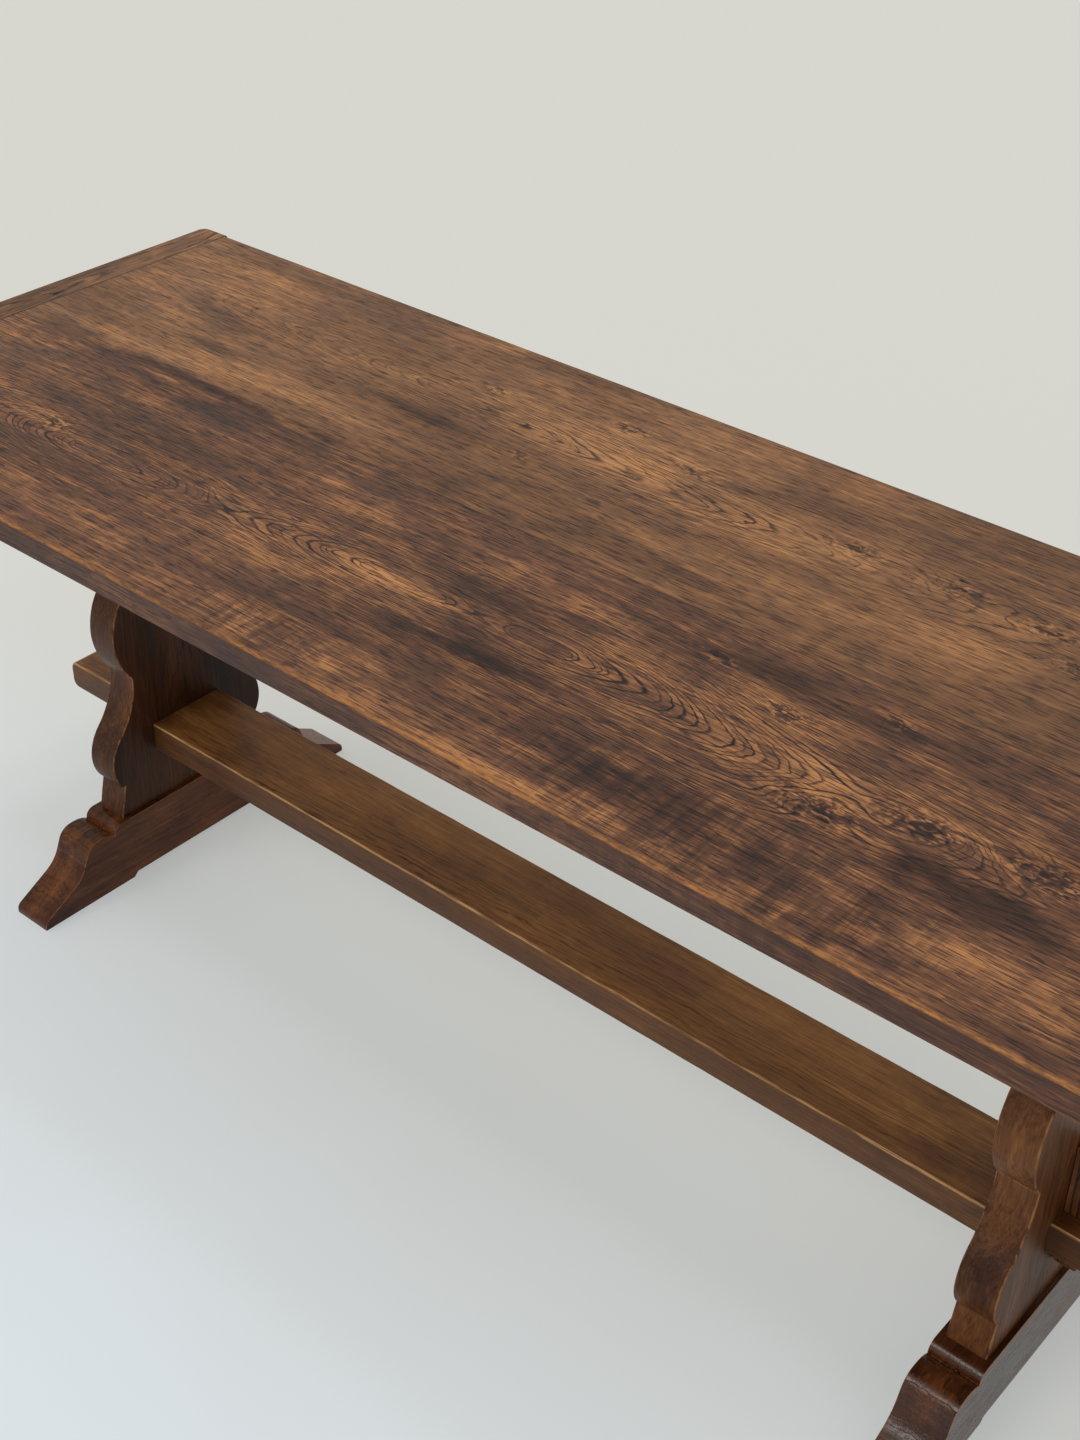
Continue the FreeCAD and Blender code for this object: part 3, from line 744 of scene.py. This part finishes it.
@dataclass(frozen=True)
class PaintedFloor:
    """Floor and wall in matt pale paint, light grey with a faint cloudiness, and with painted light on the
    floor.
    """

    name: str = "matt_pale_paint"
    # Near colour: painted cool light on the floor in front of the table. Far colour: the wall's grey, and
    # painted shade under the table.
    near: str = "#e6f0f8"
    far: str = "#dcdcd6"
    glow: float = 0.92
    glow_share: float = 0.5

    def material(self) -> Material:
        """Draw the paint.

        Returns:
            The finished material.
        """
        stuff = bpy.data.materials.new(self.name)
        draw = blank(stuff)
        place = draw(COORDINATES, output="Object")
        # Rolled paint clouds over about 600 mm.
        # Painted light: the floor is drawn bluer for some 2 m in front of the table, and turns warmer grey
        # under the table, as painted shade, and on to the wall.
        cloud = draw(NOISE, place, sockets={"Scale": 1 / (600 * MM), "Detail": 3.0})
        depth = draw(SEPARATE, place, output="Y")
        painted_light_blend = draw(MULTIPLY_ADD, cloud, 0.5, depth)
        behind = draw(MAP_RANGE, painted_light_blend, -0.8, 0.7, 0.0, 1.0)
        ahead = draw(MAP_RANGE, painted_light_blend, -1.6, -3.2, 0.0, 1.0)
        painted_light_blend = draw(MAXIMUM, behind, ahead)
        hues = {UNDER: linear(self.near), OVER: linear(self.far)}
        colour = draw(MIX, painted_light_blend, **COLOURS, sockets=hues)
        matt = {"Base Color": colour, "Roughness": 0.75}
        paint = draw("ShaderNodeBsdfPrincipled", sockets=matt)
        glow = draw("ShaderNodeEmission", colour, self.glow)
        rays = draw("ShaderNodeLightPath").node.outputs
        seen = draw(MAXIMUM, rays["Is Camera Ray"], rays["Is Glossy Ray"])
        share = draw(MAP_RANGE, seen, 0.0, 1.0, 0.0, self.glow_share)
        surface = draw("ShaderNodeMixShader", share, paint, glow)
        draw("ShaderNodeOutputMaterial", surface)
        return stuff


def box_round(middle: float, reach: Pair, heights: Pair) -> Box:
    """Make a box round a place on the table's middle line.

    Args:
        middle: Place along the table in mm.
        reach: How far the box reaches along and across the table, in mm.
        heights: Its lowest and its highest height in mm.

    Returns:
        Its lowest and its highest corner.
    """
    along, across = reach
    return ((middle - along, -across, heights[0]), (middle + along, across, heights[1]))


def within(point: Vector, boxes: Sequence[Box]) -> bool:
    """Tell whether a point in metres lies inside one of some boxes in mm.

    Args:
        point: Point in the row frame.
        boxes: Lowest and highest corners.

    Returns:
        True inside a box.
    """
    return any(all(low[i] <= point[i] / MM <= high[i] for i in range(3)) for low, high in boxes)


@dataclass(frozen=True)
class Wear:
    """How use has rounded a piece: width of an arris, depth of its hollows and their stations, in mm."""

    arris: float
    hollow: float
    station: float
    seed: float
    shown: tuple[Box, ...]
    spared: tuple[Box, ...] = ()

    def rounds(self, edge: bmesh.types.BMEdge) -> bool:
        """Tell whether use has rounded an edge.

        Args:
            edge: Edge of the piece, in metres.

        Returns:
            True for an arris in a shown box and in no spared one.
        """
        if len(edge.link_faces) != 2 or edge.calc_face_angle() < ARRIS_ANGLE:
            return False
        middle = (edge.verts[0].co + edge.verts[1].co) / 2
        return within(middle, self.shown) and not within(middle, self.spared)


def cut_stations(form: bmesh.types.BMesh, axis: int, station: float) -> None:
    """Cut a form across at even stations, so that its arrises can wear unevenly.

    Args:
        form: The form, in metres.
        axis: Number of the axis that the stations follow.
        station: Distance between stations in mm.
    """
    low = min(v.co[axis] for v in form.verts)
    high = max(v.co[axis] for v in form.verts)
    normal = [0.0, 0.0, 0.0]
    normal[axis] = 1.0
    # A cut snaps to the corners near it, because short edges would keep the arrises sharp.
    snap = SNAP_SHARE * station * MM
    count = int((high - low) / (station * MM))
    for number in range(1, count):
        spot = [0.0, 0.0, 0.0]
        spot[axis] = low + (high - low) * number / count
        everything = [*form.verts, *form.edges, *form.faces]
        bmesh.ops.bisect_plane(form, geom=everything, plane_co=spot, plane_no=normal, dist=snap)


def worn_copy(frame: dict[str, Any], node: str, fibre: Fibre, wear: Wear) -> bpy.types.Object:
    """Copy a CAD solid's surface with its arrises rounded and hollowed by use.

    Args:
        frame: The loaded frame.
        node: Name of the CAD node.
        fibre: Which way the fibres run.
        wear: How the piece has worn.

    Returns:
        The new object, in the place of the node.
    """
    solid = frame["nodes"][node].data
    mesh = bpy.data.meshes.new(node + "_worn")
    mesh.from_pydata([v.co for v in solid.vertices], [], [list(p.vertices) for p in solid.polygons])
    form = bmesh.new()
    form.from_mesh(mesh)
    bmesh.ops.remove_doubles(form, verts=form.verts, dist=WELD * MM)
    bmesh.ops.dissolve_limit(form, angle_limit=FLAT_ANGLE, verts=form.verts, edges=form.edges)
    cut_stations(form, fibre.axis, wear.station)
    arrises = [edge for edge in form.edges if wear.rounds(edge)]
    rubbed = form.faces.layers.float.new("rubbed")
    bevelled = bmesh.ops.bevel(
        form,
        geom=arrises,
        offset=wear.arris * MM,
        segments=ARRIS_STEPS,
        profile=0.5,
        affect="EDGES",
        clamp_overlap=True,
    )
    strip = set(bevelled["faces"])
    for face in strip:
        face[rubbed] = 1.0 if face.normal.z > 0.0 else LOW_RUB
    form.normal_update()
    for vert in form.verts:
        if vert.link_faces and all(face in strip for face in vert.link_faces):
            spot = vert.co / (HOLLOW_SIZE * MM) + Vector((wear.seed, 0.0, 0.0))
            depth = 0.5 + 0.5 * noise.fractal(spot, 1.0, 2.0, 3)
            vert.co -= vert.normal * wear.hollow * MM * min(max(depth, 0.0), 1.0)
    form.normal_update()
    for face in form.faces:
        face.smooth = True
    for edge in form.edges:
        edge.smooth = len(edge.link_faces) == 2 and edge.calc_face_angle() < ROUND_ANGLE
    form.to_mesh(mesh)
    form.free()
    piece = bpy.data.objects.new(node + "_worn", mesh)
    bpy.context.scene.collection.objects.link(piece)
    weighted = piece.modifiers.new("flat faces stay flat", "WEIGHTED_NORMAL")
    weighted.keep_sharp = True
    return piece


@dataclass
class Dresser:
    """Puts finishes and worn copies on the CAD nodes, and reports each."""

    frame: dict[str, Any]
    body: str = "table"

    def paint(self, node: str, finish: Material) -> None:
        """Give a CAD node its finish.

        Args:
            node: Name of the CAD node.
            finish: The finish.
        """
        solid = self.frame["nodes"][node]
        if not solid.material_slots:
            solid.data.materials.append(finish)
        for place in solid.material_slots:
            place.material = finish
        LOG.info("%s: CAD node in %s", node, finish.name)

    def replace(
        self, node: str, wood: WaxedElm, wear: Wear, body: Optional[str] = None
    ) -> bpy.types.Object:
        """Stand a worn copy in a CAD node's place.

        Args:
            node: Name of the CAD node.
            wood: Its wood.
            wear: How it has worn.
            body: Body that it rides on, if not the table.

        Returns:
            The new piece.
        """
        piece = worn_copy(self.frame, node, wood.fibre, wear)
        piece.data.materials.append(wood.material())
        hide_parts(node)
        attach(piece, body or self.body)
        LOG.info("%s: worn copy in %s, %d faces", node, wood.name, len(piece.data.polygons))
        return piece


@dataclass
class TableTop:
    """Two wide boards edge-jointed on a loose tongue, with a cleat across each end."""

    dresser: Dresser
    height: float = 760.0
    shoulder: float = 945.0
    half_length: float = 995.0
    half_width: float = 372.5
    thickness: float = 31.0
    tongue_depth: float = 15.0
    brink_inset: float = 1.5

    @property
    def heights(self) -> Pair:
        """Heights of a box that holds the top, in mm."""
        return (self.height - self.thickness - 1.0, self.height + 1.0)

    def build(self) -> None:
        """Make and dress the boards, the cleats and the tongue."""
        self._boards()
        self._cleats()
        zero = (0.0, 0.0, self.height - self.tongue_depth)
        tongue = WaxedElm("bare_elm_tongue", Fibre.ALONG, zero, 9.0, BACK_TONES)
        self.dresser.paint("board_tongue", tongue.material())

    def _boards(self) -> None:
        """Make the two boards, each with its own figure."""
        seams = (
            Line(True, 0.0, 1.2),
            Line(False, -self.shoulder, 3.0),
            Line(False, self.shoulder, 3.0),
        )
        edge = self.half_width - self.brink_inset
        front = WaxedElm(
            name="stained_waxed_elm_front_board",
            fibre=Fibre.ALONG,
            zero=(0.0, 0.0, self.height),
            seed=1.0,
            tones=FRONT_TONES,
            ring=3.2,
            ring_depth=0.72,
            squeeze=1.05,
            shiver=2.5,
            core=6.0,
            patch_depth=0.44,
            heart=(
                (-1000, -200), (-700, -198), (-560, -195), (-300, -186), (-70, -170), (215, -163),
                (430, -180), (1000, -165),
            ),
            pith=(
                (-1000, 110), (-700, 44), (-600, 16), (-540, 4), (-470, 10), (-380, 32), (-330, 42),
                (-295, 40), (-140, 11), (-70, 2), (5, 11), (40, 16), (70, 13), (115, 3), (180, 14),
                (235, 25), (395, 54), (560, 80), (1000, 120),
            ),
            clear=(
                (-1000, 0.5), (-690, 1.0), (-520, 0.9), (-400, 0.5), (-300, 1.0), (-20, 1.0), (50, 0.6),
                (110, 1.0), (180, 1.2), (450, 1.2), (600, 0.7), (1000, 0.5),
            ),
            knots=tuple(starmap(Knot, (
                (489, -203, 16, 12, 0.6), (575, -165, 16, -12, 0.6), (703, -156, 15, 10, 0.6),
                (275, -62, 8, 5, 0.6), (386, -98, 9, 5, 0.6), (482, -42, 7, 5, 0.4),
                (-640, -180, 10, 6, 0.5),
            ))),
            chatters=(Chatter(-120, -330, 300, 100), Chatter(450, -310, 760, 200)),
            stain_and_shade_patches=tuple(starmap(StainAndShadePatch, (
                (480, -190, 900, 420, 0.22), (-420, -190, 1000, 420, 0.14), (95, -215, 190, 50, 0.45),
                (20, -238, 240, 40, 0.3), (60, -112, 200, 50, 0.34), (-350, -80, 130, 80, 0.35),
                (-600, -22, 560, 44, 0.4), (640, -222, 240, 60, 0.48), (602, -300, 30, 150, 0.4),
                (400, -285, 220, 60, 0.3), (720, -130, 140, 60, 0.4), (-120, -362, 80, 26, 0.4),
                (360, -52, 320, 44, 0.35), (-66, -170, 160, 28, -0.5), (-480, -205, 240, 44, -0.25),
                (-420, -320, 320, 60, -0.2), (465, -158, 90, 30, -0.4), (370, -345, 220, 40, -0.25),
                (700, -290, 160, 60, -0.35),
            ))),
            seams=seams,
            brinks=(Line(True, -edge, 8.0),),
            **TOP_WAX,
        )
        back = WaxedElm(
            name="stained_waxed_elm_back_board",
            fibre=Fibre.ALONG,
            zero=(0.0, 0.0, self.height),
            seed=2.0,
            tones=BACK_TONES,
            ring=5.0,
            squeeze=1.5,
            shiver=6.0,
            ring_depth=0.55,
            heart=((-1000, 215), (-330, 208), (-66, 192), (69, 188), (300, 196), (1000, 200)),
            pith=(
                (-1000, 110), (-600, 62), (-420, 24), (-335, 8), (-300, 9), (-60, 42), (200, 74),
                (600, 130), (1000, 160),
            ),
            clear=(
                (-1000, 0.5), (-420, 0.6), (-300, 1.2), (130, 1.2), (240, 0.7), (420, 0.9), (640, 0.8),
                (1000, 0.5),
            ),
            knots=tuple(starmap(Knot, (
                (-305, 250, 8, 5, 0.5), (-108, 277, 10, 6, 0.6), (22, 241, 10, 6, 0.6),
                (262, 216, 11, 8, 0.6), (393, 216, 11, 8, 0.55), (502, 206, 12, 8, 0.6),
                (553, 157, 10, 6, 0.5), (-170, 135, 5, 2, 0.6),
            ))),
            stain_and_shade_patches=tuple(starmap(StainAndShadePatch, (
                (-640, 10, 640, 26, 0.9), (430, 210, 700, 320, 0.22), (-650, 100, 180, 28, 0.5),
                (-720, 165, 180, 40, 0.35), (-320, 135, 140, 32, 0.45), (-300, 15, 520, 26, 0.4),
                (150, 38, 420, 44, 0.35), (-260, 352, 220, 24, 0.5), (-60, 75, 220, 44, 0.3),
                (-800, 300, 280, 70, -0.25), (-860, 235, 180, 60, -0.25), (-480, 205, 320, 60, -0.2),
                (-90, 190, 280, 54, -0.35), (260, 195, 220, 40, -0.3), (450, 195, 140, 44, -0.3),
                (-500, 60, 320, 28, -0.25),
            ))),
            seams=seams,
            brinks=(Line(True, edge, 6.0),),
            **TOP_WAX,
        )
        shown = box_round(0.0, (self.shoulder - 1.0, self.half_width), self.heights)
        for node, wood, seed in (("front_board", front, 3.0), ("back_board", back, 5.0)):
            self.dresser.replace(node, wood, Wear(0.6, 0.2, 25.0, seed, (shown,)))

    def _cleats(self) -> None:
        """Make the cleats, whose grain runs across the table."""
        reach = ((self.half_length - self.shoulder) / 2 + 1.0, self.half_width + 1.0)
        for node, side in (("left_cleat", -1.0), ("right_cleat", 1.0)):
            middle = side * (self.shoulder + self.half_length) / 2
            wood = WaxedElm(
                name="stained_waxed_elm_" + node,
                fibre=Fibre.ACROSS,
                zero=(middle, 0.0, self.height),
                seed=6.0 + side,
                tones=BACK_TONES,
                half_length=400.0,
                pith=((-400, 40), (400, 70)),
                stain_and_shade_patches=(StainAndShadePatch(0, 0, 900, 100, 0.35),),
                seams=(Line(True, self.shoulder * side - middle, 2.5),),
                brinks=(Line(True, self.half_length * side - middle, 5.0),),
                **TOP_WAX,
            )
            shown = box_round(middle, reach, self.heights)
            self.dresser.replace(node, wood, Wear(0.6, 0.2, 25.0, 8.0 + side, (shown,)))


@dataclass
class TrestleEnd:
    """A scrolled plank on a sled foot, tenoned into a bearer under the top."""

    dresser: Dresser
    side: str
    place: float
    foot_height: float = 105.0
    foot_reach: Pair = (33.0, 300.0)
    joint_reach: Pair = (28.0, 140.0)
    relief_heights: Pair = (3.0, 8.0)
    plank_reach: Pair = (26.0, 160.0)
    mouth_reach: Pair = (26.0, 40.0)
    mouth_heights: Pair = (185.0, 236.0)
    bearer_base: float = 671.0
    bearer_middle: float = 700.0

    @property
    def sign(self) -> float:
        """Which end this is: -1 for the left one, and 1 for the right one."""
        return math.copysign(1.0, self.place)

    def build(self) -> None:
        """Make and dress the plank, the foot, the bearer and its fixings."""
        self._plank()
        self._foot()
        self._bearer()

    def _plank(self) -> None:
        """Make the scrolled plank, whose arrises stay sharp in the stretcher's mouth."""
        wood = WaxedElm(
            name="stained_waxed_elm_" + self.side + "_trestle",
            fibre=Fibre.UPRIGHT,
            zero=(self.place, 0.0, 400.0),
            seed=11.0 + self.sign,
            tones=PLANK_TONES,
            half_length=400.0,
            pith=((-400, 130), (0, 160), (400, 180)),
            ring_depth=0.2,
            pore_depth=0.1,
            mottle_depth=0.36,
            fibre_depth=0.14,
            shimmer=0.0,
            # The front edge is drawn darker high up, under the table top, as painted shade, and in a patch
            # near its foot.
            stain_and_shade_patches=(StainAndShadePatch(200, -150, 180, 80, 0.7), StainAndShadePatch(-160, -150, 90, 60, 0.5)),
            # The inward face gets painted shade.
            painted_shade_side=(-self.sign, 0.0, 0.0),
            worn="#b8804c",
            rub=0.5,
            gloss=0.2,
        )
        shown = box_round(self.place, self.plank_reach, (self.foot_height + 0.5, self.bearer_base - 0.5))
        mouth = box_round(self.place, self.mouth_reach, self.mouth_heights)
        wear = Wear(1.6, 0.5, 24.0, 12.0 + self.sign, (shown,), (mouth,))
        self.dresser.replace(self.side + "_trestle", wood, wear)

    def _foot(self) -> None:
        """Make the sled foot, which is glossier at the right end, and drawn darker there as painted shade.
        """
        left = self.sign < 0
        wood = WaxedElm(
            name="stained_waxed_elm_" + self.side + "_foot",
            fibre=Fibre.ACROSS,
            zero=(self.place, 0.0, 50.0),
            seed=15.0 + self.sign,
            tones=FOOT_TONES if left else PAINTED_SHADE_FOOT_TONES,
            half_length=300.0,
            pith=((-300, 420), (300, 440)),
            ring_depth=0.3,
            ring_relief=0.5,
            pore_depth=0.16,
            mottle_depth=0.7,
            stain_and_shade_patches=(StainAndShadePatch(-270, 0, 160, 300, 0.3),) if left else (),
            # The arrises are worn, and are drawn lighter and barer than the wear alone, as a painted
            # highlight along them and the ledge at the foot's top.
            worn="#b87646",
            rub=0.9,
            bare=(0.45, 0.95),
            shimmer=0.0,
            gloss=0.2 if left else 0.4,
            roughness=(0.16, 0.3),
        )
        shown = box_round(self.place, self.foot_reach, (-1.0, self.foot_height + 1.0))
        joint = box_round(self.place, self.joint_reach, (self.foot_height - 2.0, self.foot_height + 2.0))
        relief = box_round(self.place, self.joint_reach, self.relief_heights)
        wear = Wear(2.0, 0.6, 24.0, 16.0 + self.sign, (shown,), (joint, relief))
        self.dresser.replace(self.side + "_foot", wood, wear)

    def _bearer(self) -> None:
        """Dress the bearer, its pegs and screws, and the foot's wedges."""
        middle = (self.place, 0.0, self.bearer_middle)
        name = "stained_elm_" + self.side
        bearer = WaxedElm(
            name=name + "_bearer",
            fibre=Fibre.ACROSS,
            zero=middle,
            seed=19.0 + self.sign,
            tones=PLANK_TONES,
            half_length=300.0,
            rub=0.4,
            gloss=0.3,
            roughness=(0.5, 0.7),
        )
        pegs = WaxedElm(name + "_pegs", Fibre.ALONG, middle, 23.0, PLANK_TONES)
        wedges = WaxedElm(name + "_wedges", Fibre.UPRIGHT, (self.place, 0.0, 20.0), 27.0, FOOT_TONES)
        for node, finish in (
            ("_bearer", bearer),
            ("_bearer_pegs", pegs),
            ("_foot_wedges", wedges),
            ("_bearer_screws", BlackenedSteel()),
        ):
            self.dresser.paint(self.side + node, finish.material())


@dataclass
class StretcherRail:
    """The flat rail between the trestles, and the tusks that lock its tenons."""

    dresser: Dresser
    top: float = 232.0
    base: float = 189.0
    shoulder: float = 680.0
    half_width: float = 70.0
    tenon_middle: float = 815.5
    tenon_reach: Pair = (84.5, 40.0)
    mortise_place: float = 755.0
    mortise_reach: Pair = (27.0, 12.0)
    tusk_place: float = 754.0
    tusk_reach: Pair = (40.0, 12.0)
    tusk_heights: Pair = (100.0, 400.0)

    def build(self) -> None:
        """Make and dress the rail and the tusks."""
        self._rail()
        for side, sign in (("left", -1.0), ("right", 1.0)):
            place = sign * self.tusk_place
            wood = WaxedElm(
                name="stained_waxed_elm_" + side + "_tusk",
                fibre=Fibre.UPRIGHT,
                zero=(place, 0.0, 240.0),
                seed=35.0 + sign,
                tones=FOOT_TONES,
                half_length=120.0,
                pith=((-120, 40), (120, 50)),
            )
            shown = box_round(place, self.tusk_reach, self.tusk_heights)
            wear = Wear(1.0, 0.3, 20.0, 37.0 + sign, (shown,))
            self.dresser.replace(side + "_tusk", wood, wear, side + "_key")

    def _rail(self) -> None:
        """Make the rail, whose arrises stay sharp at its shoulders and mortises."""
        wood = WaxedElm(
            name="stained_waxed_elm_stretcher",
            fibre=Fibre.ALONG,
            zero=(0.0, 0.0, self.top),
            seed=31.0,
            tones=RAIL_TONES,
            pith=((-1000, 150), (1000, 120)),
            heart=((-1000, -90), (1000, -70)),
            ring=3.6,
            ring_depth=0.55,
            pore_depth=0.2,
            mottle_depth=0.4,
            stain_and_shade_patches=(StainAndShadePatch(-760, 0, 360, 200, 0.55), StainAndShadePatch(760, 0, 360, 200, 0.65)),
            worn="#c79a62",
            # Its edge faces get painted shade.
            painted_edge_shade="#3c241b",
            rub=0.85,
            gloss=0.3,
        )
        heights = (self.base - 1.0, self.top + 1.0)
        through = (self.base - 2.0, self.top + 2.0)
        shown = [box_round(0.0, (self.shoulder - 1.0, self.half_width), heights)]
        spared = []
        for sign in (-1.0, 1.0):
            shown.append(box_round(sign * self.tenon_middle, self.tenon_reach, heights))
            spared.append(box_round(sign * self.mortise_place, self.mortise_reach, through))
        wear = Wear(2.2, 0.7, 25.0, 33.0, tuple(shown), tuple(spared))
        self.dresser.replace("stretcher", wood, wear)


@dataclass
class Studio:
    """A plain pale room with soft light from high behind, and the camera at the photograph's place."""

    eye: Triple = (1.2396, -1.4756, 1.8683)
    lens: float = 50.10
    pitch: float = 0.6096
    roll: float = 0.0123
    yaw: float = 0.7040
    floor_size: float = 40.0

    def build(self) -> None:
        """Make the floor, the lights, the sky and the camera."""
        self._floor()
        self._light("ceiling_light_behind", (-60.0, 160.0, 745.0), 0.32, "#e8f1ff", 6.0)
        self._light("ceiling_light_front", (40.0, -195.0, 745.0), 0.26, "#eef4ff", 6.0)
        self._light("window_front", (-300.0, -800.0, 420.0), 0.18, "#fff6ea", 50.0, gleams=False)
        self._light("lamp_front", (-240.0, -650.0, 715.0), 0.60, "#fffaf2", 22.0)
        self._sky()
        self._camera()

    def _floor(self) -> None:
        """Lay the floor."""
        half = self.floor_size / 2
        mesh = bpy.data.meshes.new("studio_floor")
        corners = [(-half, -half, 0), (half, -half, 0), (half, half, 0), (-half, half, 0)]
        mesh.from_pydata(corners, [], [(0, 1, 2, 3)])
        floor = bpy.data.objects.new("studio_floor", mesh)
        floor.data.materials.append(PaintedFloor().material())
        bpy.context.scene.collection.objects.link(floor)

    def _light(
        self, name: str, towards: Triple, strength: float, tint: str, spread: float, gleams: bool = True
    ) -> None:
        """Hang one soft light so far up that it lights the floor evenly.

        Args:
            name: Name of the light.
            towards: Direction from the table to the light.
            strength: Light on a surface that faces it.
            tint: Its colour.
            spread: How wide it looks from the table, in degrees.
            gleams: Whether it shows in the wax as a highlight.
        """
        lamp = bpy.data.lights.new(name, "SUN")
        lamp.angle = math.radians(spread)
        lamp.energy = strength
        lamp.color = linear(tint)[:3]
        light = bpy.data.objects.new(name, lamp)
        light.visible_glossy = gleams
        light.location = Vector(towards).normalized() * 4.0
        light.rotation_euler = Vector(towards).to_track_quat("Z", "Y").to_euler()
        bpy.context.scene.collection.objects.link(light)

    def _sky(self) -> None:
        """Fill the room with even pale light."""
        world = bpy.data.worlds.new("pale_room")
        draw = blank(world)
        seen = draw("ShaderNodeLightPath", output="Is Camera Ray")
        way = draw(COORDINATES, output="Generated")
        rise = draw(SEPARATE, way, output="Z")
        glow = draw(MAP_RANGE, rise, 0.0, 1.0, 0.6, 0.74)
        strength = draw(MIX, seen, sockets={2: glow, 3: 0.7})
        light = draw("ShaderNodeBackground", linear("#fbf8f0"), strength)
        draw("ShaderNodeOutputWorld", light)
        bpy.context.scene.world = world

    def _camera(self) -> None:
        """Set the camera where the photograph was taken from."""
        ahead = Vector((0.0, math.cos(self.pitch), -math.sin(self.pitch)))
        up = Vector((0.0, math.sin(self.pitch), math.cos(self.pitch)))
        right = Vector((1.0, 0.0, 0.0))
        tilted = math.cos(self.roll) * right + math.sin(self.roll) * up
        raised = -math.sin(self.roll) * right + math.cos(self.roll) * up
        turn = Matrix.Rotation(self.yaw, 3, "Z")
        axes = Matrix((turn @ tilted, turn @ raised, -(turn @ ahead))).transposed()
        lens = bpy.data.cameras.new("photo_camera")
        lens.lens = self.lens
        lens.sensor_width = 36.0
        camera = bpy.data.objects.new("photo_camera", lens)
        camera.matrix_world = Matrix.Translation(self.eye) @ axes.to_4x4()
        bpy.context.scene.collection.objects.link(camera)
        bpy.context.scene.camera = camera


def main() -> None:
    """Build the table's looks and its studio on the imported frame."""
    logging.basicConfig(level=logging.INFO, format="%(name)s: %(message)s")
    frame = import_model()
    bpy.context.scene.view_settings.view_transform = "Standard"
    dresser = Dresser(frame)
    TableTop(dresser).build()
    TrestleEnd(dresser, "left", -705.0).build()
    TrestleEnd(dresser, "right", 705.0).build()
    StretcherRail(dresser).build()
    Studio().build()


if __name__ == "__main__":
    main()
